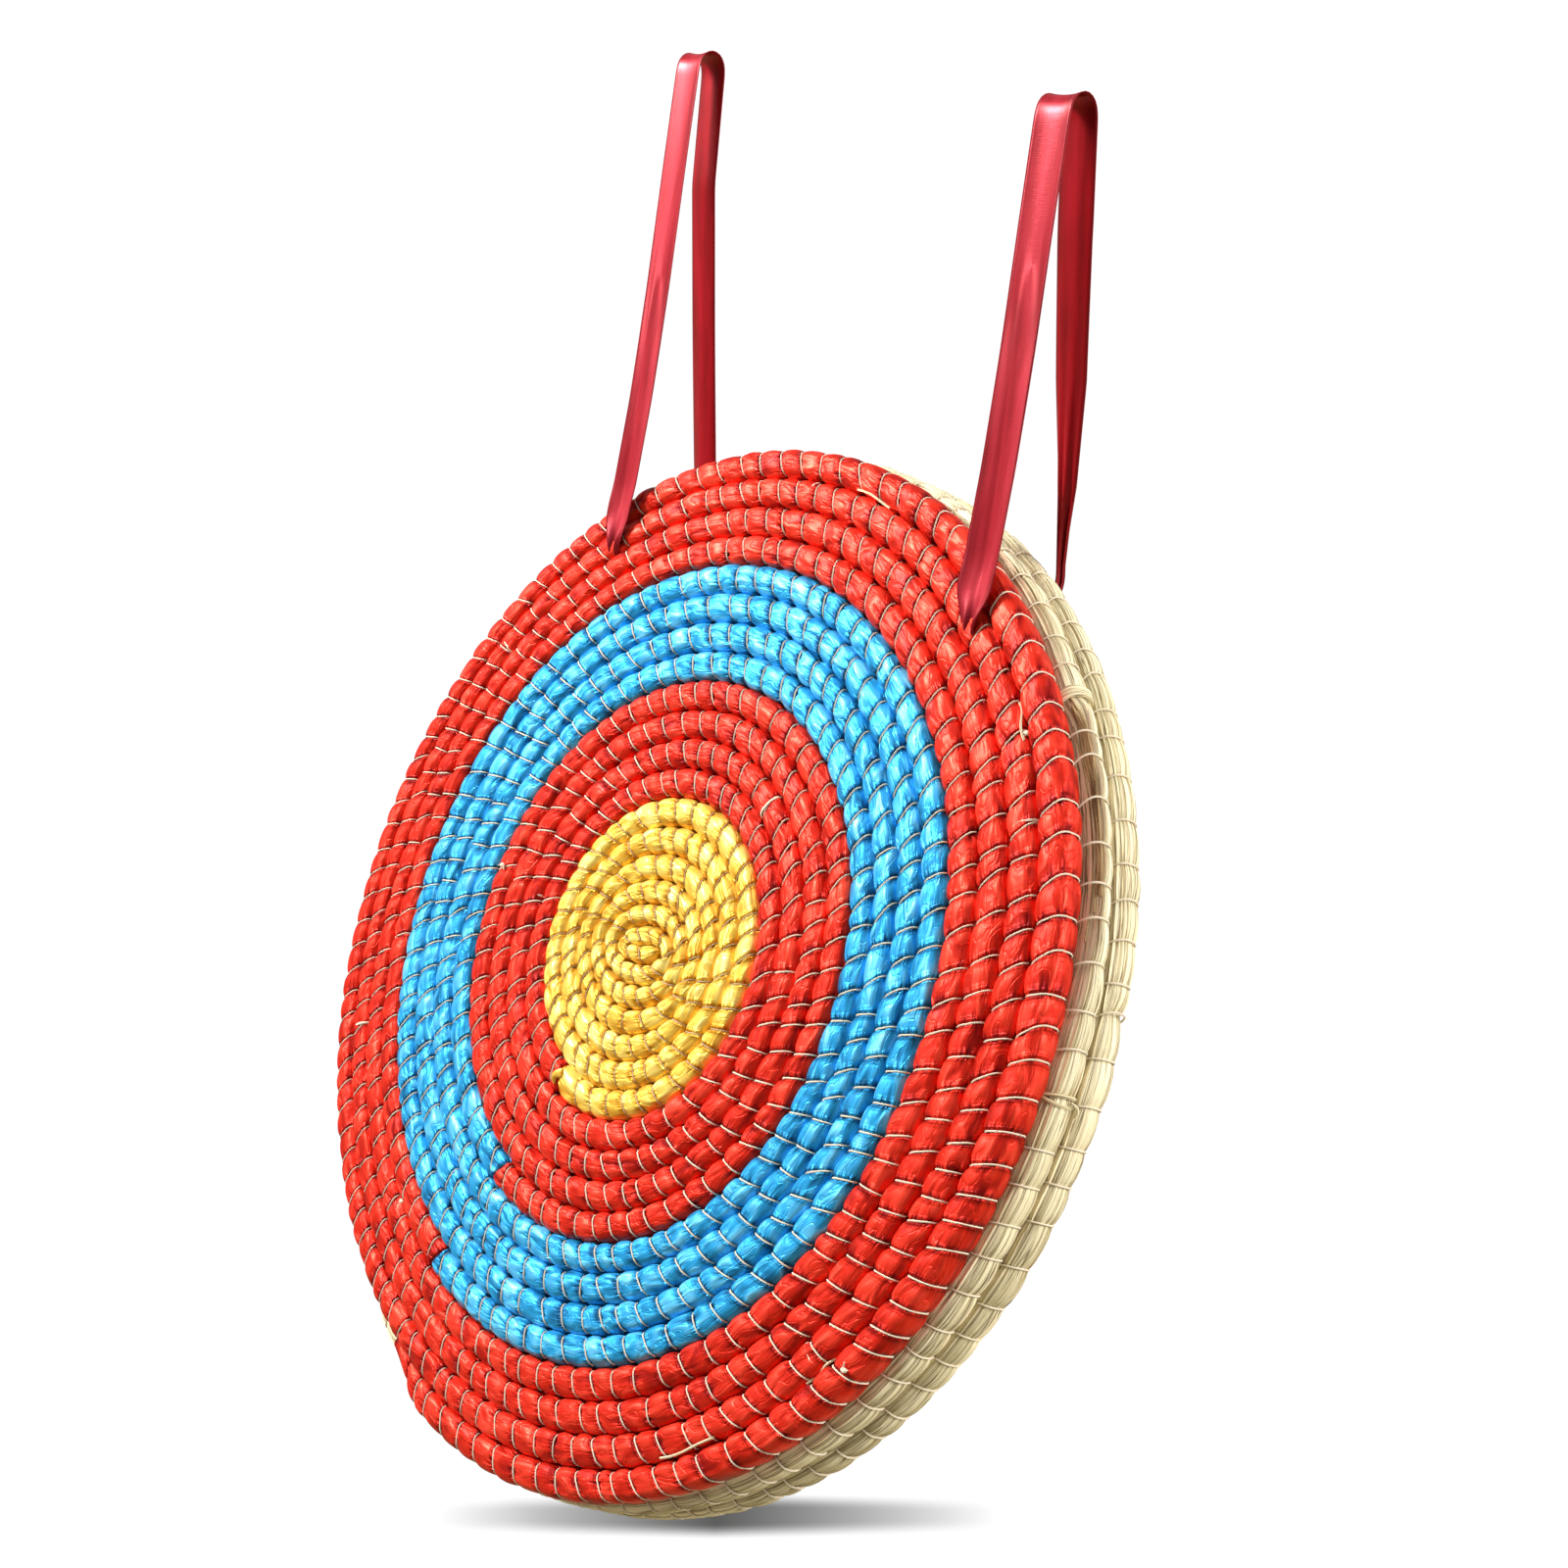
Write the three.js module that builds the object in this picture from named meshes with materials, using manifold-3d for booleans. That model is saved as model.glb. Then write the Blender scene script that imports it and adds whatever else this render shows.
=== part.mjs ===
// Archery target boss: three layers of coiled straw rope, tied face to face and hung by two ribbon loops.
// Lengths are in millimetres. X points to the shooter's right, Y away from the shooter and Z up.
// The boss leans back with its foot on the ground, while the ribbons rise plumb to what they hang from.
// The origin is the hanging point, midway between the middles of the two ribbon folds.

import * as THREE from "three";
import { mergeVertices } from "three/addons/utils/BufferGeometryUtils.js";
import Module from "manifold-3d";

const wasm = await Module();
wasm.setup();

// Counts and angles
const fullTurn = 2 * Math.PI;
const degree = Math.PI / 180;
const leanAngle = 27 * degree;
const faceStepsPerTurn = 24;
const strawStepsPerTurn = 18;
const yellowTurns = 5.75;
const ringTurns = 4;
const middleTurns = 16.85;
const middleWoundTurns = 1.5;
const backTurns = 17;
const faceEndAngle = 253.5 * degree;
const middleEndAngle = 240 * degree;
const backEndAngle = 230 * degree;

// Rope and layers
const facePitch = 14.5;
const yellowFirstPitch = 9.46;
const strawPitch = 14.65;
const turnGap = 0.5;
const ropeDepth = 16.2;
const layerGap = 0.4;
const jointGap = 0.3;
const footFlat = 1.6;
const overrun = 5;
const ropeFlatShare = 0.5;
const taperSteps = 2;
const taperShare = 0.5;

// Twine ties that hold the layers together
const twineSize = 1.6;
const twineClearance = 0.3;
const outerTieCount = 6;
const innerTieCount = 3;
const outerTieFirstStep = 1;
const innerTieFirstStep = 3;
const outerTieGroove = 1;
const innerTieGroove = 10;

// Ribbons, their holes and their folds
const ribbonWidth = 20;
const ribbonThickness = 1.2;
const gatheredWidth = 5;
const gatheredThickness = 3;
const holeClearance = 0.3;
const strapSpacing = 268;
const strapHoleRadius = 223;
const foldRadius = 7;
const foldSteps = 8;
const leftFoldHeight = 402;
const leftFoldBack = 141;
const rightFoldHeight = 372;
const rightFoldBack = 126;
const hingeRise = 4;
const loopRise = 60;
const gatherLength = 28;
const rimClearance = 2;
const knotWidth = 16;
const knotHeight = 12;
const knotDepth = 9;

// Places through the boss, measured from the middle of the front layer
const layerPitch = ropeDepth + layerGap;
const middlePlace = layerPitch;
const backPlace = 2 * layerPitch;
const frontSurface = -ropeDepth / 2;
const backSurface = backPlace + ropeDepth / 2;
const faceTurns = yellowTurns + 3 * ringTurns;

// Finishes
function finish(color, roughness) {
  return new THREE.MeshStandardMaterial({ color, roughness, metalness: 0 });
}

const finishes = {
  yellow: () => finish(0xf5c63c, 0.45),
  red: () => finish(0xe02a26, 0.45),
  blue: () => finish(0x2fa3dc, 0.45),
  straw: () => finish(0xcbb98a, 0.85),
  twine: () => finish(0xe9dfc6, 0.8),
  ribbon: () => finish(0xa61c34, 0.35),
};

// Swept bodies: each station holds a centre, a side and an up direction, and an outline run anticlockwise
// about the way of travel, which is side crossed with up
function sweep(stations) {
  const count = stations[0].outline.length;
  const positions = [];
  const triangles = [];
  for (const { centre, side, up, outline } of stations) {
    for (const [across, along] of outline) {
      const point = centre.clone().addScaledVector(side, across).addScaledVector(up, along);
      positions.push(point.x, point.y, point.z);
    }
  }
  for (let station = 0; station + 1 < stations.length; station += 1) {
    for (let corner = 0; corner < count; corner += 1) {
      const here = station * count + corner;
      const beside = station * count + ((corner + 1) % count);
      triangles.push(here, beside, beside + count, here, beside + count, here + count);
    }
  }
  const last = (stations.length - 1) * count;
  for (let corner = 1; corner + 1 < count; corner += 1) {
    triangles.push(0, corner + 1, corner, last, last + corner, last + corner + 1);
  }
  const geometry = new THREE.BufferGeometry();
  geometry.setAttribute("position", new THREE.Float32BufferAttribute(positions, 3));
  geometry.setIndex(triangles);
  return geometry;
}

// Joins and cuts
function solidOf(geometry) {
  const plain = geometry.clone();
  plain.deleteAttribute("normal");
  plain.deleteAttribute("uv");
  const merged = mergeVertices(plain);
  return new wasm.Manifold(new wasm.Mesh({
    numProp: 3,
    vertProperties: new Float32Array(merged.attributes.position.array),
    triVerts: new Uint32Array(merged.index.array),
  }));
}

function geometryOf(solid) {
  const mesh = solid.getMesh();
  const geometry = new THREE.BufferGeometry();
  geometry.setAttribute("position", new THREE.BufferAttribute(new Float32Array(mesh.vertProperties), 3));
  geometry.setIndex(new THREE.BufferAttribute(new Uint32Array(mesh.triVerts), 1));
  return geometry;
}

function cut(geometry, cutters) {
  let solid = solidOf(geometry);
  for (const cutter of cutters) {
    solid = solid.subtract(cutter);
  }
  return geometryOf(solid);
}

// Spirals: a rope lies on its own turns, going outward clockwise seen from the shooter. The rope of a layer's
// growing turns thickens steadily, from the layer's first pitch to its pitch
function pitchAt(layer, turn) {
  const grown = Math.min(turn / layer.growingTurns, 1);
  return layer.firstPitch + (layer.pitch - layer.firstPitch) * grown;
}

function spiralRadius(layer, turn) {
  const growing = Math.min(turn, layer.growingTurns);
  const growth = (layer.pitch - layer.firstPitch) / (2 * layer.growingTurns);
  const grown = layer.firstPitch / 2 + (layer.firstPitch + growth) * growing + growth * growing ** 2;
  return grown + layer.pitch * (turn - growing);
}

function spiralAngle(layer, turn) {
  return layer.endAngle + fullTurn * (layer.turns - turn);
}

function outward(angle) {
  return new THREE.Vector3(Math.cos(angle), 0, Math.sin(angle));
}

const faceLayer = {
  pitch: facePitch,
  firstPitch: yellowFirstPitch,
  growingTurns: yellowTurns,
  turns: faceTurns,
  steps: faceStepsPerTurn,
  endAngle: faceEndAngle,
  place: 0,
};
const middleLayer = {
  pitch: strawPitch,
  firstPitch: strawPitch,
  growingTurns: middleTurns,
  turns: middleTurns,
  steps: strawStepsPerTurn,
  endAngle: middleEndAngle,
  place: middlePlace,
};
const backLayer = {
  pitch: strawPitch,
  firstPitch: strawPitch,
  growingTurns: backTurns,
  turns: backTurns,
  steps: strawStepsPerTurn,
  endAngle: backEndAngle,
  place: backPlace,
};

function ropeOutline(halfWidth, halfDepth) {
  const flat = halfWidth * ropeFlatShare;
  return [
    [halfWidth, 0],
    [flat, halfDepth],
    [-flat, halfDepth],
    [-halfWidth, 0],
    [-flat, -halfDepth],
    [flat, -halfDepth],
  ];
}

// A stretch of a layer's rope, whose free outer end narrows onto the turn inside it
function ropeStations(layer, firstTurn, lastTurn, tapered) {
  const steps = Math.round((lastTurn - firstTurn) * layer.steps);
  const stations = [];
  for (let step = 0; step <= steps; step += 1) {
    const turn = firstTurn + step / layer.steps;
    const angle = spiralAngle(layer, turn);
    const halfWidth = (pitchAt(layer, turn) - turnGap) / 2;
    const intoTaper = tapered ? Math.max(0, step - (steps - taperSteps)) / taperSteps : 0;
    const share = 1 - (1 - taperShare) * intoTaper;
    const radius = spiralRadius(layer, turn) - halfWidth * (1 - share);
    stations.push({
      centre: outward(angle).multiplyScalar(radius).setY(layer.place),
      side: outward(angle),
      up: new THREE.Vector3(0, -1, 0),
      outline: ropeOutline(halfWidth * share, (ropeDepth / 2) * share),
    });
  }
  return stations;
}

function endsApart(stations, atStart, atEnd) {
  const moved = stations.map((station) => ({ ...station }));
  const pullBack = (end, inner) => {
    const along = new THREE.Vector3().crossVectors(end.side, end.up);
    const towards = inner.centre.clone().sub(end.centre).dot(along) > 0 ? 1 : -1;
    end.centre = end.centre.clone().addScaledVector(along, (towards * jointGap) / 2);
  };
  if (atStart) pullBack(moved[0], moved[1]);
  if (atEnd) pullBack(moved[moved.length - 1], moved[moved.length - 2]);
  return moved;
}

// The least distance between the points of one turn and those of the next
function leastSelfGap(stations, steps) {
  const rings = stations.map(({ centre, side, up, outline }) => outline.map(([across, along]) => (
    centre.clone().addScaledVector(side, across).addScaledVector(up, along)
  )));
  let least = Infinity;
  rings.forEach((ring, index) => {
    for (let other = index + steps - 1; other <= index + steps + 1 && other < rings.length; other += 1) {
      for (const point of ring) {
        for (const neighbour of rings[other]) {
          least = Math.min(least, point.distanceTo(neighbour));
        }
      }
    }
  });
  return least;
}

// The middle of the groove between two turns, counted inward from the rim
function grooveRadius(layer, angle, groove) {
  const turnsBeforeEnd = THREE.MathUtils.euclideanModulo(angle - layer.endAngle, fullTurn) / fullTurn;
  return spiralRadius(layer, layer.turns - turnsBeforeEnd) + layer.pitch / 2 - groove * layer.pitch;
}

// Ties: a frame of twine that goes round one turn of the face and through all three layers
const tieFront = frontSurface - twineClearance - twineSize;
const tieBack = backSurface + twineClearance + twineSize;

function tiePlace(firstStep, stepsBetween, groove, index) {
  const angle = faceEndAngle + ((firstStep + index * stepsBetween) / faceStepsPerTurn) * fullTurn;
  return { angle, inner: grooveRadius(faceLayer, angle, groove + 1), outer: grooveRadius(faceLayer, angle, groove) };
}

const tiePlaces = [];
for (let index = 0; index < outerTieCount; index += 1) {
  tiePlaces.push(tiePlace(outerTieFirstStep, faceStepsPerTurn / outerTieCount, outerTieGroove, index));
}
for (let index = 0; index < innerTieCount; index += 1) {
  tiePlaces.push(tiePlace(innerTieFirstStep, faceStepsPerTurn / innerTieCount, innerTieGroove, index));
}

function rectangle(left, right, low, high) {
  return [[left, low], [right, low], [right, high], [left, high]]
    .map(([across, along]) => new THREE.Vector2(across, along));
}

// A shape drawn outward and backward, given a breadth along the turn and set at an angle
function alongTurn(shape, breadth, angle) {
  const geometry = new THREE.ExtrudeGeometry(shape, { depth: breadth, bevelEnabled: false });
  geometry.translate(0, 0, -breadth / 2);
  geometry.rotateY(-angle);
  return geometry;
}

function tieGeometry({ angle, inner, outer }) {
  const half = twineSize / 2;
  const shape = new THREE.Shape(rectangle(inner - half, outer + half, tieFront, tieBack));
  shape.holes.push(new THREE.Path(
    rectangle(inner + half, outer - half, tieFront + twineSize, tieBack - twineSize),
  ));
  return alongTurn(shape, twineSize, angle);
}

function tieHoles({ angle, inner, outer }) {
  const half = twineSize / 2 + twineClearance;
  return [inner, outer].map((radius) => solidOf(alongTurn(
    new THREE.Shape(rectangle(radius - half, radius + half, frontSurface - overrun, backSurface + overrun)),
    2 * half,
    angle,
  )));
}

// Ribbons
const holeHeight = Math.sqrt(strapHoleRadius ** 2 - (strapSpacing / 2) ** 2);

function strapHole(side) {
  const width = gatheredWidth + 2 * holeClearance;
  const height = gatheredThickness + 2 * holeClearance;
  const depth = backSurface - frontSurface + 2 * overrun;
  const box = new THREE.BoxGeometry(width, depth, height);
  box.translate((side * strapSpacing) / 2, (backSurface + frontSurface) / 2, holeHeight);
  return solidOf(box);
}

// From the boss's own upright places to the leaned ones
function leaned(back, height) {
  const cosine = Math.cos(leanAngle);
  const sine = Math.sin(leanAngle);
  return [back * cosine + height * sine, height * cosine - back * sine];
}

// A ribbon along points of back and height, each with its width and thickness
function ribbon(x, points) {
  const across = new THREE.Vector3(1, 0, 0);
  const places = points.map(({ at: [back, height] }) => new THREE.Vector3(x, back, height));
  const stations = points.map(({ width, thickness, facing }, index) => {
    const before = places[index].clone().sub(places[Math.max(index - 1, 0)]).normalize();
    const after = places[Math.min(index + 1, places.length - 1)].clone().sub(places[index]).normalize();
    const travel = facing ? new THREE.Vector3(0, ...facing) : before.add(after).normalize();
    return {
      centre: places[index],
      side: across,
      up: new THREE.Vector3().crossVectors(travel, across),
      outline: [
        [width / 2, thickness / 2],
        [-width / 2, thickness / 2],
        [-width / 2, -thickness / 2],
        [width / 2, -thickness / 2],
      ],
    };
  });
  return sweep(stations);
}

function rimHeight(layer, side) {
  const inside = strapSpacing / 2 - gatheredWidth;
  const angle = Math.atan2(holeHeight, (side * strapSpacing) / 2);
  const edge = grooveRadius(layer, angle, 0);
  return Math.sqrt(edge ** 2 - inside ** 2);
}

const straps = [
  { name: "left", side: -1, foldHeight: leftFoldHeight, foldBack: leftFoldBack },
  { name: "right", side: 1, foldHeight: rightFoldHeight, foldBack: rightFoldBack },
];

for (const strap of straps) {
  const rim = Math.max(rimHeight(faceLayer, strap.side), rimHeight(backLayer, strap.side));
  const [, hingeHeight] = leaned(middlePlace, rim + hingeRise);
  strap.x = (strap.side * strapSpacing) / 2;
  strap.splitHeight = hingeHeight + loopRise;
  strap.frontStart = leaned(frontSurface - jointGap, holeHeight);
  strap.frontTurn = leaned(frontSurface - jointGap - gatheredThickness, holeHeight + gatheredThickness);
  strap.backStart = leaned(backSurface + rimClearance, holeHeight + knotHeight / 2 + jointGap);
  strap.backRim = leaned(backSurface + rimClearance, rim);
  strap.foldFront = [strap.foldBack - foldRadius, strap.foldHeight];
  strap.foldRear = [strap.foldBack + foldRadius, strap.foldHeight];
}

function between(from, to, height) {
  const share = (height - from[1]) / (to[1] - from[1]);
  return [from[0] + (to[0] - from[0]) * share, height];
}

const full = { width: ribbonWidth, thickness: ribbonThickness };
const gathered = { width: gatheredWidth, thickness: gatheredThickness };
const halfGathered = {
  width: (ribbonWidth + gatheredWidth) / 2,
  thickness: (ribbonThickness + gatheredThickness) / 2,
};

function frontLeg(strap) {
  const { frontStart, frontTurn, foldFront, splitHeight } = strap;
  const intoFace = [Math.cos(leanAngle), -Math.sin(leanAngle)];
  return ribbon(strap.x, [
    { at: frontStart, ...gathered, facing: intoFace.map((part) => -part) },
    { at: frontTurn, ...gathered },
    { at: between(frontTurn, foldFront, frontTurn[1] + gatherLength / 2), ...halfGathered },
    { at: between(frontTurn, foldFront, frontTurn[1] + gatherLength), ...full },
    { at: between(frontTurn, foldFront, splitHeight - jointGap), ...full },
  ]);
}

function backLeg(strap) {
  const { backStart, backRim, foldRear, splitHeight } = strap;
  return ribbon(strap.x, [
    { at: backStart, ...gathered },
    { at: backRim, ...gathered },
    { at: between(backRim, foldRear, backRim[1] + gatherLength), ...halfGathered },
    { at: between(backRim, foldRear, splitHeight - jointGap), ...full },
  ]);
}

function loop(strap) {
  const { frontTurn, backRim, foldFront, foldRear, splitHeight } = strap;
  const points = [{ at: between(frontTurn, foldFront, splitHeight), ...full }];
  for (let step = 0; step <= foldSteps; step += 1) {
    const angle = Math.PI * (1 - step / foldSteps);
    points.push({
      at: [strap.foldBack + foldRadius * Math.cos(angle), strap.foldHeight + foldRadius * Math.sin(angle)],
      ...full,
    });
  }
  points.push({ at: between(backRim, foldRear, splitHeight), ...full });
  return ribbon(strap.x, points);
}

function throat(strap) {
  const box = new THREE.BoxGeometry(gatheredWidth, backSurface - frontSurface, gatheredThickness);
  box.translate(strap.x, (backSurface + frontSurface) / 2, holeHeight);
  return box;
}

function knot(strap) {
  const lump = new THREE.IcosahedronGeometry(1, 1);
  lump.scale(knotWidth / 2, knotDepth / 2, knotHeight / 2);
  lump.translate(strap.x, backSurface + jointGap + knotDepth / 2, holeHeight);
  return lump;
}

// The assembly
const boss = new THREE.Group();
const leanedPieces = new THREE.Group();
leanedPieces.rotation.x = -leanAngle;
const hangingBack = (leftFoldBack + rightFoldBack) / 2;
const hangingHeight = (leftFoldHeight + rightFoldHeight) / 2;
boss.position.set(0, -hangingBack, -hangingHeight);
boss.add(leanedPieces);

function addPiece(group, name, geometry, material) {
  const mesh = new THREE.Mesh(geometry, material);
  mesh.name = name;
  group.add(mesh);
}

const holes = [...straps.map(({ side }) => strapHole(side)), ...tiePlaces.flatMap(tieHoles)];

// The coloured face, one length of wrapped rope for each ring
const rings = [
  { name: "yellow_centre_coil", turns: yellowTurns, material: finishes.yellow },
  { name: "inner_red_coil", turns: ringTurns, material: finishes.red },
  { name: "blue_coil", turns: ringTurns, material: finishes.blue },
  { name: "outer_red_coil", turns: ringTurns, material: finishes.red },
];
let turnsLaid = 0;
for (const ring of rings) {
  const isFirst = turnsLaid === 0;
  const isLast = ring === rings[rings.length - 1];
  const rope = ropeStations(faceLayer, turnsLaid, turnsLaid + ring.turns, isLast);
  const stations = endsApart(rope, !isFirst, !isLast);
  console.log(`${ring.name}: least gap to itself ${leastSelfGap(stations, faceStepsPerTurn).toFixed(3)} mm`);
  addPiece(leanedPieces, ring.name, cut(sweep(stations), holes), ring.material());
  turnsLaid += ring.turns;
}

// The middle layer: its rim is wound and the rest is a plain core that no view reaches
function middleCore() {
  const outline = [];
  const inset = (strawPitch + turnGap) / 2;
  for (let step = 0; step < strawStepsPerTurn; step += 1) {
    const turn = middleTurns - middleWoundTurns + step / strawStepsPerTurn;
    const clearOfStart = step === 0 ? turnGap / spiralRadius(middleLayer, turn) : 0;
    const angle = spiralAngle(middleLayer, turn) + clearOfStart;
    const radius = spiralRadius(middleLayer, turn) - inset;
    outline.push(new THREE.Vector2(radius * Math.cos(angle), radius * Math.sin(angle)));
  }
  const core = new THREE.ExtrudeGeometry(new THREE.Shape(outline), { depth: ropeDepth, bevelEnabled: false });
  core.rotateX(Math.PI / 2);
  core.translate(0, middlePlace + ropeDepth / 2, 0);
  return core;
}

const middleRope = ropeStations(middleLayer, middleTurns - middleWoundTurns, middleTurns, true);
console.log(`middle_straw_coil: least gap to itself ${leastSelfGap(middleRope, strawStepsPerTurn).toFixed(3)} mm`);
addPiece(leanedPieces, "middle_straw_core", cut(middleCore(), holes), finishes.straw());
addPiece(leanedPieces, "middle_straw_coil", cut(sweep(middleRope), holes), finishes.straw());

// The back layer, cut level where it meets the ground
function groundCutter(geometry) {
  const points = geometry.attributes.position;
  const size = 2 * (backTurns + 1) * strawPitch;
  let lowest = Infinity;
  for (let index = 0; index < points.count; index += 1) {
    lowest = Math.min(lowest, leaned(points.getY(index), points.getZ(index))[1]);
  }
  const block = new THREE.BoxGeometry(size, size, overrun);
  block.translate(0, 0, lowest + footFlat - overrun / 2);
  block.rotateX(leanAngle);
  return solidOf(block);
}

const backRope = ropeStations(backLayer, 0, backTurns, true);
console.log(`back_straw_coil: least gap to itself ${leastSelfGap(backRope, strawStepsPerTurn).toFixed(3)} mm`);
const backCoil = sweep(backRope);
addPiece(leanedPieces, "back_straw_coil", cut(backCoil, [...holes, groundCutter(backCoil)]), finishes.straw());

tiePlaces.forEach((place, index) => {
  addPiece(leanedPieces, `layer_tie_${index + 1}`, tieGeometry(place), finishes.twine());
});

for (const strap of straps) {
  addPiece(leanedPieces, `${strap.name}_strap_throat`, throat(strap), finishes.ribbon());
  addPiece(leanedPieces, `${strap.name}_strap_knot`, knot(strap), finishes.ribbon());
  addPiece(boss, `${strap.name}_strap_front_leg`, frontLeg(strap), finishes.ribbon());
  addPiece(boss, `${strap.name}_strap_back_leg`, backLeg(strap), finishes.ribbon());
  addPiece(boss, `${strap.name}_strap_loop`, loop(strap), finishes.ribbon());
}

export default boss;
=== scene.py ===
"""Dresses a coiled straw target boss: satin rings, straw rope, stitching, ties and ribbon loops."""

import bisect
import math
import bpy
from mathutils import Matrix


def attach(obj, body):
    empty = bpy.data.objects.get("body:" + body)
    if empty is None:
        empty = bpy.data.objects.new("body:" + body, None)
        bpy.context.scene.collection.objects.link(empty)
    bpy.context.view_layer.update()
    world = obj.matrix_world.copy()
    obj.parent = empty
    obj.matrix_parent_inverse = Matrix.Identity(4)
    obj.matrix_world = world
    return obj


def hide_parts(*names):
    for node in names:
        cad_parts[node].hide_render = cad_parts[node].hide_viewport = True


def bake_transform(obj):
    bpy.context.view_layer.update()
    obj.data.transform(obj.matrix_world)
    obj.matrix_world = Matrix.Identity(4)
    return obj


bl_info = {
    "name": "Coiled straw target boss",
    "version": (1, 0, 0),
    "blender": (4, 5, 0),
    "location": "3D View > Sidebar > Target boss",
    "description": "Winds, sews and hangs a three-layer straw target boss",
    "category": "Object",
}

import bpy
import numpy as np
from mathutils import Matrix, Vector

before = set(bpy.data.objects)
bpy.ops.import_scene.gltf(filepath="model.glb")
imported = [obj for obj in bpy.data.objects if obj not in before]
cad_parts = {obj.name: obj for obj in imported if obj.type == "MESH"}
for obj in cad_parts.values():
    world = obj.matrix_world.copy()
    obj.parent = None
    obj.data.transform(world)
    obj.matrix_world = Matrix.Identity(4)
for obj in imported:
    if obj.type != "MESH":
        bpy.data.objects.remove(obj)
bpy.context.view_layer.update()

# How the boss stands: lengths are in millimetres until a mesh is made of them
LEAN = math.radians(27)
FACE_BACK = -133.5
FACE_HEIGHT = -387.0
FLOOR_HEIGHT = -0.6343
FULL_TURN = 2 * math.pi

# Layers, measured backward from the middle of the face
MIDDLE_PLACE = 16.6
BACK_PLACE = 33.2
ROPE_HALF_DEPTH = 8.1

# Turns of rope: the yellow one starts thin, with a straight piece through the middle, and thickens
YELLOW_TURNS = 5.75
RING_TURNS = 4
FACE_TURNS = YELLOW_TURNS + 3 * RING_TURNS
FACE_START = -0.5
MIDDLE_TURNS = 16.85
BACK_TURNS = 17
FACE_END = math.radians(253.5)
MIDDLE_END = math.radians(240)
BACK_END = math.radians(230)
FACE_PITCH = 14.5
YELLOW_FIRST_PITCH = 9.46
STRAW_PITCH = 14.65

# The first turns are drawn out sideways, and the rings aren't quite concentric
FIRST_TURNS_STRETCH = 9.5
FIRST_TURNS_TILT = math.radians(8)
STRETCH_FROM, STRETCH_FADE, TILT_FADE = 0.5, 6, 3
DRIFT_RADII = (0, 76, 134, 193, 235, 262)
DRIFT_RIGHT = (7.5, 5.6, 3.2, -2.6, 0.5, 0)
DRIFT_UP = (-2.4, -2.4, -1.8, -1.4, 0, 0)

# Ribbon loops
STRAP_X = 134.0
HOLE_HEIGHT = 178.25

# The way out of the boss's front, a little off square so that no loose cord runs along it
FORWARD = (0.02, -1.0, 0.03)

# Millimetres to one unit of a UV map, and how far each stitch is moved on it from the last
UV_UNIT = 100
UV_SHIFT = 0.37


def leaned(points):
    """Turns places in the boss, as right, back and up from the face's middle, into places in the frame"""
    points = np.asarray(points, dtype=float)
    right, back, up = points[..., 0], points[..., 1], points[..., 2]
    return np.stack([
        right,
        FACE_BACK + back * math.cos(LEAN) + up * math.sin(LEAN),
        FACE_HEIGHT + up * math.cos(LEAN) - back * math.sin(LEAN),
    ], axis=-1)


def smooth(share):
    share = np.clip(share, 0, 1)
    return share * share * (3 - 2 * share)


def unit(vectors):
    return vectors / np.linalg.norm(vectors, axis=-1, keepdims=True)


def distances(line):
    """How far along a line each of its points is"""
    return np.concatenate([[0], np.cumsum(np.linalg.norm(np.diff(line, axis=0), axis=1))])


def respaced(line, count):
    """The same line with a number of evenly spaced points"""
    along = distances(line)
    wanted = np.linspace(0, along[-1], count)
    return np.stack([np.interp(wanted, along, line[:, axis]) for axis in range(3)], axis=-1)


# Lines that the ropes follow: their tables of lengths go a little past the rope at both ends
TABLE_BEFORE, TABLE_AFTER, TABLE_POINTS = 0.02, 1.3, 40000
NUDGE = 0.004
ROOM_LIMITS = (3, 8)
SETTLES_FROM, SETTLES_OVER = 0.75, 0.5


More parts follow.
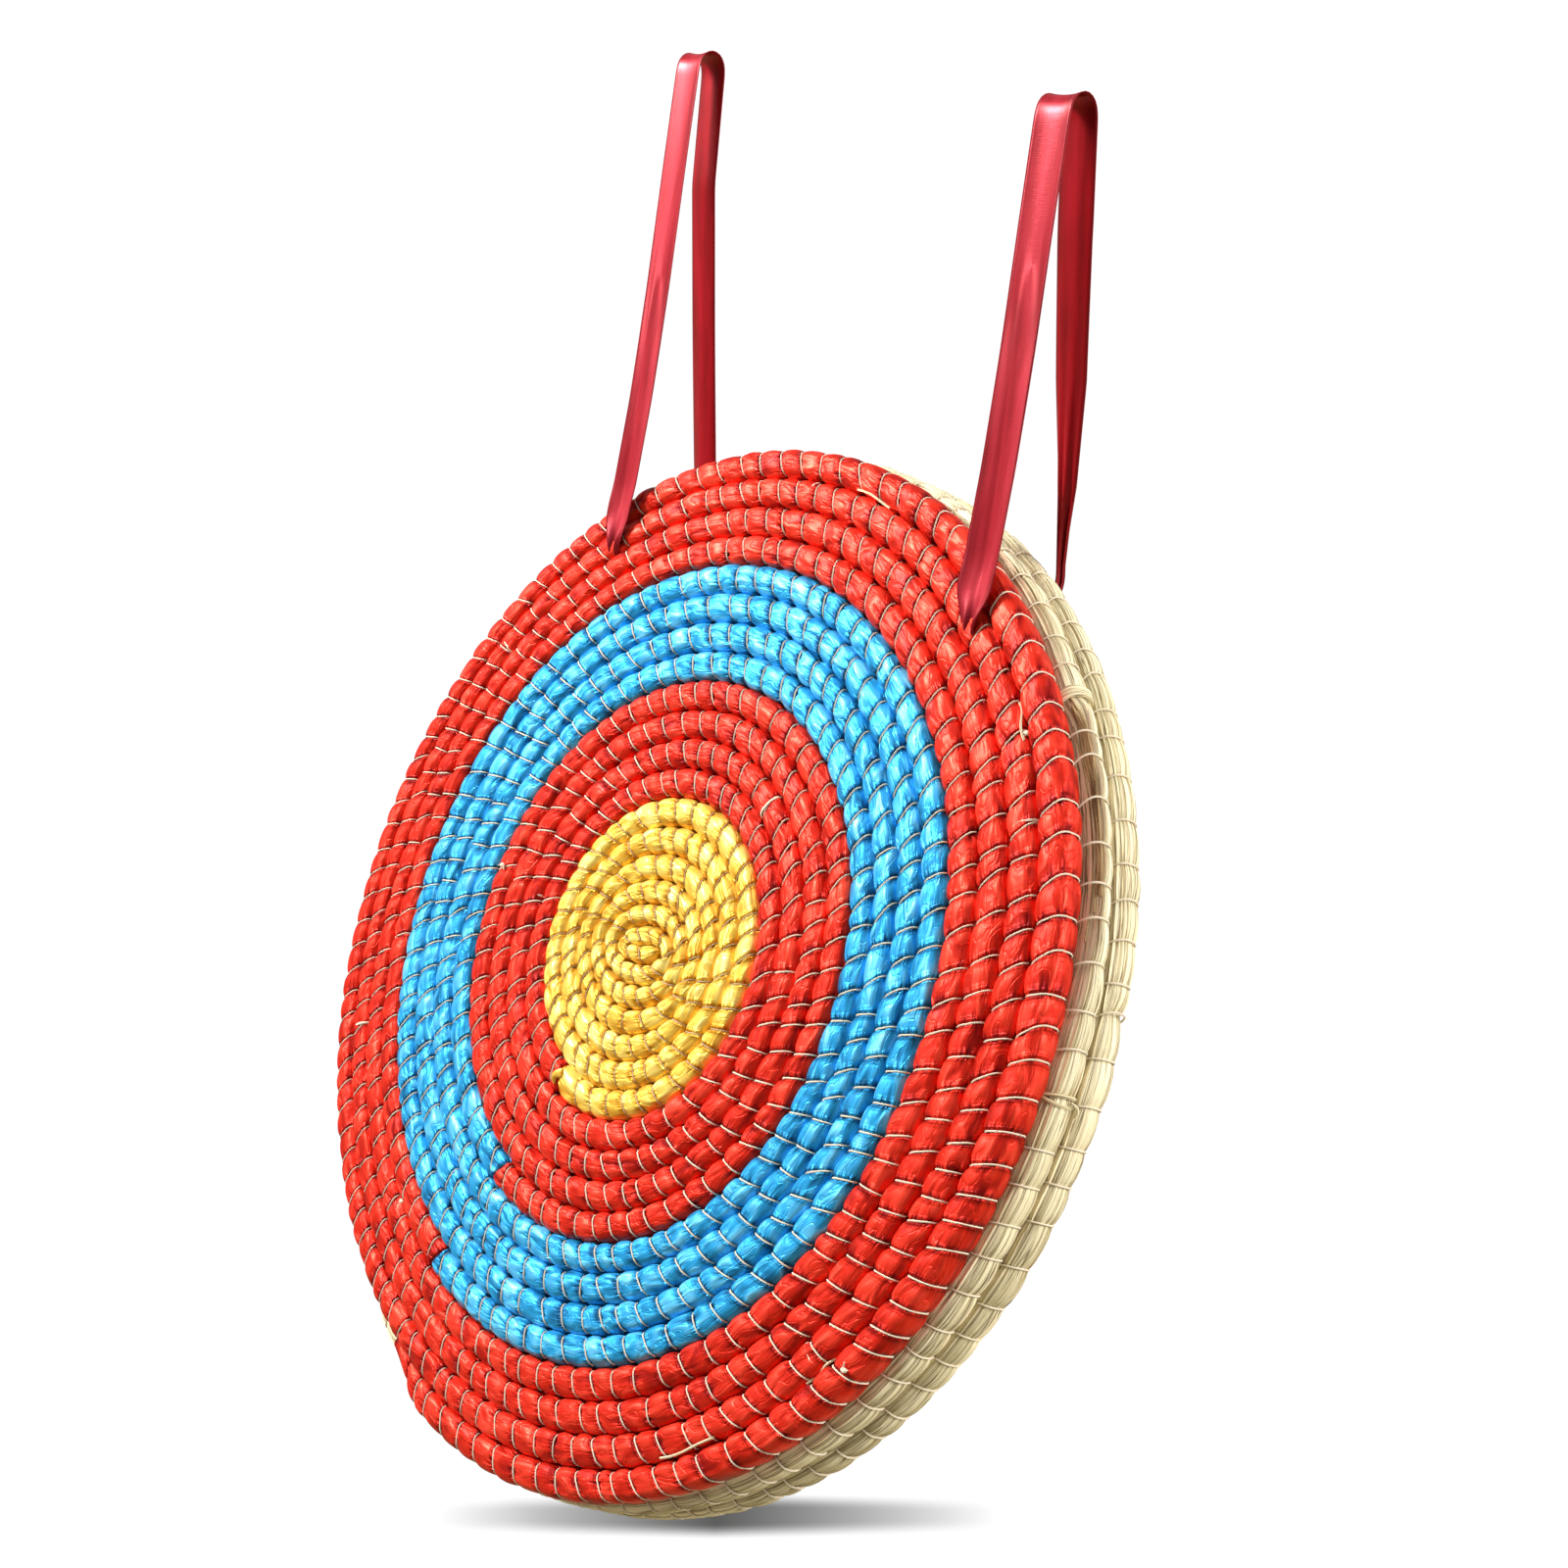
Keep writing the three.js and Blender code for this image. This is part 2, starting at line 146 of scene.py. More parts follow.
class Spiral:
    """The line along the middle of a layer's rope, outward and clockwise, and the room beside it"""

    def __init__(self, start, turns, end, place, radius, first_room, stretch=0.0, drifts=False):
        self.start, self.turns, self.end, self.place = start, turns, end, place
        self.radius, self.first_room, self.stretch, self.drifts = radius, first_room, stretch, drifts
        self.turn_table = np.linspace(start - TABLE_BEFORE, turns + TABLE_AFTER, TABLE_POINTS)
        lengths = distances(self.middle(self.turn_table))
        self.length_table = lengths - np.interp(start, self.turn_table, lengths)

    def middle(self, turn):
        """Right and up from the middle of the layer"""
        turn = np.asarray(turn, dtype=float)
        angle = self.end + FULL_TURN * (self.turns - turn)
        radius = np.maximum(self.radius(turn), 0)
        stretch = self.stretch * (1 - smooth((turn - STRETCH_FROM) / STRETCH_FADE)) * np.cos(angle)
        right, up = radius * np.cos(angle) + stretch, radius * np.sin(angle)
        if self.drifts:
            tilt = FIRST_TURNS_TILT * (1 - smooth(turn / TILT_FADE))
            right, up = (right * np.cos(tilt) - up * np.sin(tilt), right * np.sin(tilt) + up * np.cos(tilt))
            right = right + np.interp(radius, DRIFT_RADII, DRIFT_RIGHT)
            up = up + np.interp(radius, DRIFT_RADII, DRIFT_UP)
        return np.stack([right, up], axis=-1)

    def outward(self, turn):
        """The way from the middle line to the next turn, square to the rope"""
        turn = np.asarray(turn, dtype=float)
        travel = unit(self.middle(turn + NUDGE) - self.middle(turn - NUDGE))
        return np.stack([-travel[..., 1], travel[..., 0]], axis=-1)

    def turn_at(self, length):
        return np.interp(length, self.length_table, self.turn_table)

    def length_at(self, turn):
        return float(np.interp(turn, self.turn_table, self.length_table))

    def room(self, turn):
        """Half the distance to the turn inside and to the turn outside"""
        outward = self.outward(turn)
        here = self.middle(turn)
        inner = np.sum((here - self.middle(np.maximum(turn - 1, self.start))) * outward, axis=-1) / 2
        outer = np.sum((self.middle(turn + 1) - here) * outward, axis=-1) / 2
        settled = smooth((turn - self.start - SETTLES_FROM) / SETTLES_OVER)
        inner = self.first_room * (1 - settled) + inner * settled
        half_pitch = (self.radius(turn) - self.radius(turn - 1)) / 2
        outer = np.where(turn > self.turns - 1, half_pitch, np.clip(outer, *ROOM_LIMITS))
        return inner, outer


def face_radius(turn):
    """The rope thickens steadily over the yellow turns"""
    growing = np.minimum(turn, YELLOW_TURNS)
    growth = (FACE_PITCH - YELLOW_FIRST_PITCH) / (2 * YELLOW_TURNS)
    grown = YELLOW_FIRST_PITCH / 2 + (YELLOW_FIRST_PITCH + growth) * growing + growth * growing ** 2
    return grown + FACE_PITCH * (turn - growing)


def straw_radius(turn):
    return STRAW_PITCH / 2 + STRAW_PITCH * turn


FACE = Spiral(FACE_START, FACE_TURNS, FACE_END, 0, face_radius, first_room=4.3,
              stretch=FIRST_TURNS_STRETCH, drifts=True)
MIDDLE = Spiral(0, MIDDLE_TURNS, MIDDLE_END, MIDDLE_PLACE, straw_radius, first_room=6.5)
BACK = Spiral(0, BACK_TURNS, BACK_END, BACK_PLACE, straw_radius, first_room=6.5)


# Ropes
INNER_PINCH = 0.25


class Rope:
    """How one kind of rope fills its turns and swells between its stitches"""

    def __init__(self, half_depth, squareness, pinch, swell, reach, front_sides, back_sides, shares,
                 creases=0, fluting=0.0):
        self.half_depth, self.squareness = half_depth, squareness
        self.pinch, self.swell, self.reach = pinch, swell, reach
        self.creases, self.shares, self.fluting = creases, np.array(shares), fluting
        quarter = np.linspace(-math.pi / 2, 0, back_sides // 2, endpoint=False)
        front = np.linspace(0, math.pi, front_sides, endpoint=False)
        rear = np.linspace(math.pi, 1.5 * math.pi, back_sides // 2, endpoint=False)
        self.around = np.concatenate([quarter, front, rear])

    def skin(self, spiral, length, around, slant, swell, share=1.0, front_share=1.0):
        """Points of the rope's skin: around is 0 at its outer side and a quarter turn at its front"""
        cosine, sine = np.cos(around), np.sin(around)
        power = 2 / self.squareness
        across = np.sign(cosine) * np.abs(cosine) ** power
        depth = np.sign(sine) * np.abs(sine) ** power
        turn = spiral.turn_at(length - slant / 2 * across)
        outward = spiral.outward(turn)
        middle = spiral.middle(turn)
        inner, outer = spiral.room(turn)
        side = np.where(across > 0, outer, inner) * across + swell * cosine
        side = -inner + (side + inner) * share
        forward = (self.half_depth * depth + swell * sine) * share
        forward = np.where(forward > 0, forward * front_share, forward)
        return np.stack(np.broadcast_arrays(
            middle[..., 0] + side * outward[..., 0],
            spiral.place - forward,
            middle[..., 1] + side * outward[..., 1],
        ), axis=-1)

    def pinched(self, around):
        """How far a stitch draws the skin in: most on the inner side, where it goes down"""
        return -self.pinch * (1 - INNER_PINCH * np.cos(around))


SATIN_SHARES = (0, 0.035, 0.085, 0.16, 0.27, 0.41, 0.57, 0.72, 0.84, 0.92, 0.97)
STRAW_SHARES = (0, 0.08, 0.25, 0.5, 0.75, 0.92)
SATIN_ROPE = Rope(7.8, 2.95, pinch=1.4, swell=0.6, reach=1.25, front_sides=17, back_sides=4,
                  shares=SATIN_SHARES, creases=5)
YELLOW_ROPE = Rope(7.6, 2.85, pinch=1.3, swell=0.5, reach=1.2, front_sides=20, back_sides=4,
                   shares=SATIN_SHARES, creases=5)
STRAW_RIM_ROPE = Rope(7.7, 2.5, pinch=1.1, swell=0.5, reach=2.4, front_sides=20, back_sides=20,
                      shares=STRAW_SHARES, fluting=0.45)
STRAW_ROPE = Rope(7.8, 2.4, pinch=0.7, swell=0.35, reach=3.5, front_sides=4, back_sides=10,
                  shares=STRAW_SHARES, fluting=0.35)

# Stitches: how unevenly they fall, as shares of their spacing, and how one joins the line of those inside
SCATTER, JOINED_SCATTER = 0.07, 0.04
JOIN_REACH, JOIN_SHARE = 0.3, 0.8
LEAST_STITCH_RADIUS = 10
LAST_STITCH_ROOM = 10
SHORTEST_PILLOW = 6


def plan_stitches(spiral, first_turn, spacing_at, slant, rng):
    """Lengths along the rope at which it is sewn, mostly in line with the stitches of the turn inside"""
    places = [spiral.length_at(first_turn)]
    carried = []
    last = spiral.length_at(spiral.turns)
    while places[-1] < last - LAST_STITCH_ROOM:
        turn = spiral.turn_at(places[-1])
        spacing = float(spacing_at(turn))
        radius = max(float(spiral.radius(turn + 1)), LEAST_STITCH_RADIUS)
        carried.append(spiral.length_at(turn + 1 - slant / (FULL_TURN * radius)))
        wish = places[-1] + spacing * (1 + SCATTER * rng.standard_normal())
        spot = bisect.bisect_left(carried, wish)
        near = [carried[index] for index in (spot - 1, spot) if 0 <= index < len(carried)]
        close = min(near, key=lambda place: abs(place - wish))
        if abs(close - wish) < JOIN_REACH * spacing:
            wish = close + (1 - JOIN_SHARE) * (wish - close)
            wish += JOINED_SCATTER * spacing * rng.standard_normal()
        places.append(wish)
    return np.array(places[:-1])


def pillow_bounds(places, start, end):
    """The stitches inside a stretch of rope, with its own two ends"""
    inside = places[(places > start + SHORTEST_PILLOW) & (places < end - SHORTEST_PILLOW)]
    return np.concatenate([[start], inside, [end]])


# Lengths over which the ropes thicken or thin at their ends, and the share of the thickness left there
YELLOW_START_TAPER, BACK_START_TAPER = 7, 20
FACE_TAPER, MIDDLE_TAPER, BACK_TAPER = 45.0, 30.0, 60.0
START_SHARE, END_SHARE = 0.55, 0.4

# How the rope swells between two stitches, and the limits between which each of its creases is drawn
REACH_AFTER = 1.25
BULGE_LEAN, BULGE_POWER = 0.3, 0.75
SWELL_LIMITS = (0.55, 1.35)
CREASE_SPOT = (0.15 * math.pi, 0.95 * math.pi)
CREASE_WIDTH = (0.1, 0.2)
CREASE_DEPTH = (0.15, 1.05)
CREASE_REACH = (1.5, 6.5)
CREASE_WANDER = (-0.05, 0.05)

# Straws that show along a bare rope
STALK_LENGTH, STALK_SHIFT, STALK_MARGIN = 70, 25, 80
STALK_STEP = 0.55


def thinned(distance, taper, least):
    """The share of its thickness that a rope keeps at a distance from its end"""
    return least + (1 - least) * smooth(distance / taper)


def straw_flutes(length, sides, rng):
    """Separate straws along a rope: each side rises or falls for a while, then another straw takes over"""
    flat = length.reshape(-1)
    columns = []
    for _ in range(sides):
        ends = np.arange(flat[0] - STALK_MARGIN, flat[-1] + 2 * STALK_MARGIN, STALK_LENGTH)
        ends = ends + rng.uniform(-STALK_SHIFT, STALK_SHIFT)
        columns.append(np.interp(flat, ends, rng.uniform(-1, 1, len(ends))))
    alternate = np.where(np.arange(sides) % 2, STALK_STEP, -STALK_STEP)
    return (np.stack(columns, axis=-1) + alternate).reshape(*length.shape, sides)


def wind(spiral, bounds, rope, slants, rng, taper_in=0.0, taper_out=0.0, slim=None, dent=None):
    """One tube of rope that swells between its stitches, with its length, sides and marks"""
    count, sides = len(bounds) - 1, len(rope.around)
    shares, around = rope.shares[None, :], rope.around[None, None, :]

    def drawn(low, high):
        """One value for each stretch between two stitches"""
        return rng.uniform(low, high, (count, 1, 1))

    def rows(values, last):
        """A row for each ring of the tube, with one more for its end"""
        values = np.broadcast_to(values, (count, shares.size, sides)).reshape(-1, sides)
        return np.concatenate([values, np.broadcast_to(last, (1, sides))])

    spans = np.diff(bounds)[:, None]
    length = bounds[:-1, None] + spans * shares
    slant = slants[:-1, None] * (1 - shares) + slants[1:, None] * shares
    before, after = (spans * shares)[..., None], (spans * (1 - shares))[..., None]
    pull = np.exp(-before / rope.reach) + np.exp(-after / (rope.reach * REACH_AFTER))
    lean = 1 + BULGE_LEAN * drawn(-1, 1) * np.cos(around)
    bulge = np.sin(math.pi * shares[..., None] ** lean) ** BULGE_POWER
    swell = rope.pinched(around) * pull + rope.swell * drawn(*SWELL_LIMITS) * bulge
    for _ in range(rope.creases):
        for distance in (before, after):
            spot, width, depth = drawn(*CREASE_SPOT), drawn(*CREASE_WIDTH), drawn(*CREASE_DEPTH)
            reach = drawn(*CREASE_REACH)
            aside = around - spot - drawn(*CREASE_WANDER) * distance
            swell = swell - depth * np.exp(-(aside / width) ** 2) * np.exp(-distance / reach)
    if rope.fluting:
        swell = swell + rope.fluting * straw_flutes(length, sides, rng)
    if dent:
        place, depth, reach = dent
        hollow = np.exp(-((length[..., None] - place) / reach) ** 2)
        swell = swell - depth * hollow * np.clip(np.cos(around), 0, 1)
    tone = drawn(-1, 1)
    length, slant = np.append(length, bounds[-1]), np.append(slant, slants[-1])
    share = np.ones_like(length)
    if taper_in:
        share = share * thinned(length - length[0], taper_in, START_SHARE)
    if taper_out:
        share = share * thinned(length[-1] - length, taper_out, END_SHARE)
    front_share = slim(spiral.turn_at(length))[:, None] if slim else 1.0
    points = rope.skin(spiral, length[:, None], rope.around[None, :], slant[:, None],
                       rows(swell, rope.pinched(rope.around)), share[:, None], front_share)
    return {"points": points[None], "length": length, "pinch": rows(pull, 1.0), "tone": rows(tone, tone[-1])}


# Meshes
SMOOTH_ANGLE = math.radians(60)
STITCH_SINK = 1.2
STITCH_CORE = 3


def make_piece(name, places, faces, coordinates, marks, material):
    """A smooth piece with a UV map of real lengths and a value at each point for each mark"""
    mesh = bpy.data.meshes.new(name)
    mesh.from_pydata(places.tolist(), [], faces)
    layer = mesh.uv_layers.new(name="rope_lengths")
    layer.uv.foreach_set("vector", coordinates.astype(np.float32).reshape(-1))
    for mark, values in marks.items():
        attribute = mesh.attributes.new(mark, "FLOAT", "POINT")
        attribute.data.foreach_set("value", values.astype(np.float32).reshape(-1))
    mesh.validate()
    mesh.update()
    mesh.materials.append(material)
    piece = bpy.data.objects.new(name, mesh)
    bpy.context.scene.collection.objects.link(piece)
    bpy.ops.object.select_all(action="DESELECT")
    piece.select_set(True)
    bpy.context.view_layer.objects.active = piece
    bpy.ops.object.shade_smooth_by_angle(angle=SMOOTH_ANGLE)
    return piece


def tube_piece(name, tubes, material):
    """One piece of the boss, made of closed tubes, each a block of rings"""
    vertices, faces, coordinates, marks = [], [], [], {"pinch": [], "tone": []}
    base = 0
    for tube in tubes:
        points = tube["points"]
        amount, rings, sides = points.shape[:3]
        ring, side = np.meshgrid(np.arange(rings - 1), np.arange(sides), indexing="ij")
        here, beside = ring * sides + side, ring * sides + (side + 1) % sides
        quad = np.stack([here, beside, beside + sides, here + sides], axis=-1).reshape(-1, 4)
        middle_ring = points[0, rings // 2]
        girth = distances(np.concatenate([middle_ring, middle_ring[:1]])) / UV_UNIT
        length = tube["length"] / UV_UNIT
        low, high = length[ring].reshape(-1), length[ring + 1].reshape(-1)
        left, right = girth[side].reshape(-1), girth[side + 1].reshape(-1)
        quad_uv = np.stack([low, left, low, right, high, right, high, left], axis=-1).reshape(-1, 2)
        cap = np.arange(sides)
        cap_uv = np.column_stack([np.full(2 * sides, length[0]), np.zeros(2 * sides)])
        for index in range(amount):
            start = base + index * rings * sides
            faces.extend((quad + start).tolist())
            faces.append((cap[::-1] + start).tolist())
            faces.append((cap + start + (rings - 1) * sides).tolist())
            shift = [index * UV_SHIFT, 0]
            coordinates.extend([quad_uv + shift, cap_uv + shift])
        base += amount * rings * sides
        vertices.append(points.reshape(-1, 3))
        for mark, values in marks.items():
            values.append(tube.get(mark, np.zeros(amount * rings * sides)).reshape(-1))
    marks = {mark: np.concatenate(values) for mark, values in marks.items()}
    places = pressed_flat(leaned(np.concatenate(vertices)) / 1000)
    piece = make_piece(name, places, faces, np.concatenate(coordinates), marks, material)
    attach(piece, "boss")
    return piece


def pressed_flat(places):
    """Places in metres, with the foot of the boss pressed flat on the floor"""
    places[:, 2] = np.maximum(places[:, 2], FLOOR_HEIGHT)
    return places


def cord_tube(points, normals, radius, sides=5):
    """Round tubes along paths: an array of points for each, with a normal for each point"""
    travel = unit(np.gradient(points, axis=1))
    normals = unit(normals - np.sum(normals * travel, axis=-1, keepdims=True) * travel)
    beside = np.cross(travel, normals)
    angle = np.arange(sides) / sides * FULL_TURN
    circle = (np.cos(angle)[:, None] * normals[:, :, None, :]
              + np.sin(angle)[:, None] * beside[:, :, None, :])
    radius = np.broadcast_to(radius, points.shape[:2])[..., None, None]
    return {"points": points[:, :, None, :] + radius * circle, "length": distances(points[0])}


def strand(path, thickness, sides=5):
    """One cord along a path on the front of the boss"""
    return cord_tube(path[None], np.broadcast_to(FORWARD, path.shape)[None], thickness / 2, sides)


def stitch_tubes(spiral, rope, places, slants, degrees, thickness, segments, lift=0.6, taper=None):
    """Threads that cross the rope at the given lengths, from one angle round it to another"""
    places, slants = places[:, None], slants[:, None]
    share = thinned(spiral.length_at(spiral.turns) - places, taper, END_SHARE) if taper else 1.0
    around = np.radians(np.linspace(*degrees, segments + 1))[None, :]
    skin = rope.pinched(around) + thickness * lift
    sink = np.zeros(segments + 1)
    sink[[0, -1]] = thickness * STITCH_SINK
    points = rope.skin(spiral, places, around, slants, skin - sink, share)
    core = rope.skin(spiral, places, around, slants, skin - STITCH_CORE, share)
    return cord_tube(points, points - core, thickness / 2)


def lump(centre, size, turn=0.0, rings=7, sides=8):
    """A small closed knot of thread"""
    along = np.linspace(-1, 1, rings)
    radius = np.sqrt(np.clip(1 - along ** 2, 0.02, 1))
    around = np.arange(sides) / sides * FULL_TURN
    ripple = 1 + 0.16 * np.cos(3 * around[None, :] + 4 * along[:, None] + turn)
    points = np.stack([
        centre[0] + size[0] * np.broadcast_to(along[:, None], (rings, sides)),
        centre[1] + size[1] * radius[:, None] * np.sin(around) * ripple,
        centre[2] - size[2] * radius[:, None] * np.cos(around) * ripple,
    ], axis=-1)
    return {"points": points[None, :, ::-1], "length": (along + 1) * size[0]}


# Finishes
class Socket:
    """A node's output that can be used in sums"""

    def __init__(self, finish, socket):
        self.finish, self.socket = finish, socket

    def sum(self, operation, *terms):
        return self.finish.node("ShaderNodeMath", {"operation": operation}, *terms)

    def __add__(self, other):
        return self.sum("ADD", self, other)

    __radd__ = __add__

    def __sub__(self, other):
        return self.sum("SUBTRACT", self, other)

    def __rsub__(self, other):
        return self.sum("SUBTRACT", other, self)

    def __mul__(self, other):
        return self.sum("MULTIPLY", self, other)

    __rmul__ = __mul__

    def __pow__(self, other):
        return self.sum("POWER", self, other)

    def __abs__(self):
        return self.sum("ABSOLUTE", self)

    def between(self, low, high):
        """0 below low and 1 above high, with a soft step"""
        return self.finish.node("ShaderNodeMapRange", {"interpolation_type": "SMOOTHSTEP"}, self, low, high)


class Finish:
    """A material or a world, and the nodes that it is made of"""

    def __init__(self, owner, surface="Principled BSDF", **sockets):
        self.owner = owner
        owner.use_nodes = True
        self.nodes, self.links = owner.node_tree.nodes, owner.node_tree.links
        self.surface = self.nodes[surface]
        self.dress(**sockets)

    def set_input(self, socket, value):
        if isinstance(value, Socket):
            self.links.new(value.socket, socket)
        elif value is not None:
            socket.default_value = value

    def node(self, kind, settings=None, *values, output=0, **named):
        """Adds a node, with its settings first, then its sockets by place or by name"""
        node = self.nodes.new(kind)
        for setting, value in (settings or {}).items():
            setattr(node, setting, value)
        for socket, value in zip(node.inputs, values):
            self.set_input(socket, value)
        for name, value in named.items():
            self.set_input(node.inputs[name.replace("_", " ")], value)
        return Socket(self, node.outputs[output])

    def ramp(self, light, *stops):
        """Colours from dark to light: each stop is a place and a colour"""
        node = self.nodes.new("ShaderNodeValToRGB")
        elements = node.color_ramp.elements
        elements.remove(elements[-1])
        for index, (place, colour) in enumerate(stops):
            stop = elements.new(place) if index else elements[0]
            stop.position, stop.color = place, rgb(colour)
        self.set_input(node.inputs[0], light)
        return Socket(self, node.outputs[0])

    def mix(self, factor, first, second):
        sockets = {0: factor, 6: first, 7: second}
        values = [sockets.get(place) for place in range(8)]
        return self.node("ShaderNodeMix", {"data_type": "RGBA"}, *values, output=2)

    def mark(self, name):
        return self.node("ShaderNodeAttribute", {"attribute_name": name}, output=2)

    def stretched(self, along, across, shift=(0, 0, 0)):
        """The piece's own UV map, with patterns so many times finer along it and across it"""
        lengths = self.node("ShaderNodeUVMap", {"uv_map": "rope_lengths"})
        return self.node("ShaderNodeMapping", None, lengths, Location=shift, Scale=(along, across, 1))

    def noise(self, where, scale=1.0, detail=2.0, roughness=0.5, distortion=0.0):
        return self.node("ShaderNodeTexNoise", None, Vector=where, Scale=scale, Detail=detail,
                         Roughness=roughness, Distortion=distortion)

    def bump(self, height, strength, distance):
        return self.node("ShaderNodeBump", None, Strength=strength, Distance=distance, Height=height)

    def dress(self, **sockets):
        for name, value in sockets.items():
            self.set_input(self.surface.inputs[name.replace("_", " ")], value)
        return self.owner


def new_finish(name, **sockets):
    return Finish(bpy.data.materials.new(name), **sockets)


def rgb(colour, share=1.0):
    return (*(part * share for part in colour[:3]), 1.0)


def satin(name, colour, shade, painted_glint):
    """Shiny woven wrapping: creases run along the rope and gather at the stitches. Its colour is painted
    light and shade: a ramp from a painted shade colour through the satin's own colour to a painted glint,
    following the folds and the drape, and darker near the stitches
    """
    finish = new_finish(name, Metallic=0.4, Specular_IOR_Level=0.2, Anisotropic=0.3)
    pinch, tone = finish.mark("pinch"), finish.mark("tone")
    folds = finish.noise(finish.stretched(7, 48), detail=1.5, distortion=0.8)
    fine = finish.noise(finish.stretched(9, 170, (3, 1, 0)), detail=1.0)
    drape = finish.noise(finish.stretched(7, 13, (7, 2, 0)), detail=0.5, roughness=0.4, distortion=1.0)
    crease = abs(drape - 0.5).between(0.0, 0.035)
    gathered = pinch.between(0.0, 0.45)
    depth = folds * (0.15 + 1.3 * gathered) + fine * (0.05 + 0.1 * gathered) + drape * 1.1 + crease * 0.1
    # Painted light and shade: the folds and the drape lighten and darken the colour, and it darkens near the
    # stitches
    light = (folds - 0.5) * (0.3 + 1.2 * gathered) + (drape - 0.5) * 1.3 + (fine - 0.5) * 0.25 + (
        tone * 0.1 + 0.52 - gathered * 0.3)
    shine = finish.ramp(light, (0.0, shade), (0.45, colour), (1.0, painted_glint))
    return finish.dress(Base_Color=shine, Roughness=0.37 + 0.12 * folds,
                        Normal=finish.bump(depth, 0.85, 0.0019))


DULL_STRAW = (0.62, 0.52, 0.29)
BROWN_STRAW = (0.32, 0.21, 0.08)


def straw(name, pale, dull=DULL_STRAW, brown=BROWN_STRAW, on_object=False):
    """Dry straw: separate stalks along the rope, pale, greenish or brown, with painted shade in the gaps
    between them
    """
    finish = new_finish(name, Specular_IOR_Level=0.4)
    if on_object:
        place = finish.node("ShaderNodeTexCoord", None, output=3)
        stalks = finish.noise(finish.node("ShaderNodeMapping", None, place, Scale=(1, 1, 6)), 90.0)
        blotch = finish.noise(place, 14.0)
        fibre = finish.noise(place, 400.0)
        pinch = 0.0
    else:
        stalks = finish.noise(finish.stretched(1.1, 52), detail=1.5, distortion=0.3)
        blotch = finish.noise(finish.stretched(2.2, 7, (4, 4, 0)))
        fibre = finish.noise(finish.stretched(5, 260, (1, 8, 0)), roughness=0.6)
        # Painted shade: the stalks are a little darker where the stitches pull the rope in
        pinch = finish.mark("pinch").between(0.1, 0.9) * 0.03
    # Painted shade in the narrow gaps between the stalks
    shaded_gap = abs(stalks - 0.47).between(0.0, 0.03)
    stalk = finish.ramp(stalks * 0.5 + fibre * 0.5 - pinch,
                        (0.38, brown), (0.43, dull), (0.5, pale), (0.6, rgb(pale, 1.12)))
    patch = finish.mix(blotch.between(0.42, 0.72) * 0.55, stalk, rgb(dull, 1.1))
    lined = finish.mix((1 - shaded_gap) * 0.9, patch, rgb(brown, 0.55))
    height = stalks * 0.8 + fibre * 0.3 + shaded_gap * 0.12
    return finish.dress(Base_Color=lined, Roughness=0.42 + 0.3 * fibre,
                        Normal=finish.bump(height, 0.9, 0.002))


def thread(name, colour, shade):
    """Twisted cotton thread"""
    finish = new_finish(name, Roughness=0.75, Sheen_Weight=0.1, Specular_IOR_Level=0.25)
    twist = finish.node("ShaderNodeTexWave", {"bands_direction": "DIAGONAL"},
                        Vector=finish.stretched(60, 110), Scale=1.0, Distortion=0.5)
    worn = finish.noise(finish.stretched(12, 8))
    cotton = finish.mix(twist * 0.45 + worn * 0.3, rgb(colour), rgb(shade))
    return finish.dress(Base_Color=cotton, Normal=finish.bump(twist, 0.5, 0.0003))


def ribbon_satin(name, colour, shade, painted_glint):
    """Ribbon: a close lengthwise shine with faint ribs across. Its colour ramp paints shade and a glint along
    the drape, and its edges and gathered ends are painted darker toward the shade colour
    """
    finish = new_finish(name, Metallic=0.35, Specular_IOR_Level=0.3, Anisotropic=0.4)
    ribs = finish.noise(finish.stretched(300, 12), detail=1.0)
    drape = finish.noise(finish.stretched(2.0, 16, (5, 0, 0)))
    # Painted shade along the edges and at the gathered ends
    painted_edge_shade = finish.mark("pinch").between(0.7, 1.0)
    shine = finish.ramp(drape * 0.7 + ribs * 0.1 + 0.12, (0.2, shade), (0.5, colour), (0.85, painted_glint))
    return finish.dress(Base_Color=finish.mix(painted_edge_shade * 0.5, shine, rgb(shade)),
                        Roughness=0.32 + 0.1 * drape, Normal=finish.bump(drape + ribs * 0.15, 0.3, 0.0006))


# What a user can change
def length_property(name, description, default, low, high):
    return bpy.props.FloatProperty(name=name, description=description, default=default, min=low, max=high,
                                   unit="LENGTH", subtype="DISTANCE")


def colour_property(name, description, default):
    return bpy.props.FloatVectorProperty(
        name=name, description=description, default=default, size=3, min=0, max=1, subtype="COLOR")


class BossSizes(bpy.types.PropertyGroup):
    """Sizes of the sewing and the ribbons"""

    stitch_spacing: length_property(
        "Stitch spacing", "Length of rope between one stitch and the next", 0.0138, 0.006, 0.04)
    stitch_slant: length_property(
        "Stitch slant", "How far a stitch runs along the rope while it crosses it", 0.0055, 0.0, 0.015)
    thread_thickness: length_property(
        "Thread thickness", "Thickness of the sewing thread", 0.0008, 0.0004, 0.003)
    twine_thickness: length_property(
        "Twine thickness", "Thickness of the twine that ties the layers together", 0.0014, 0.0006, 0.003)
    ribbon_width: length_property(
        "Ribbon width", "Width of the ribbons before they are gathered", 0.02, 0.008, 0.03)
    ribbon_thickness: length_property(
        "Ribbon thickness", "Thickness of the ribbons", 0.0004, 0.0002, 0.002)


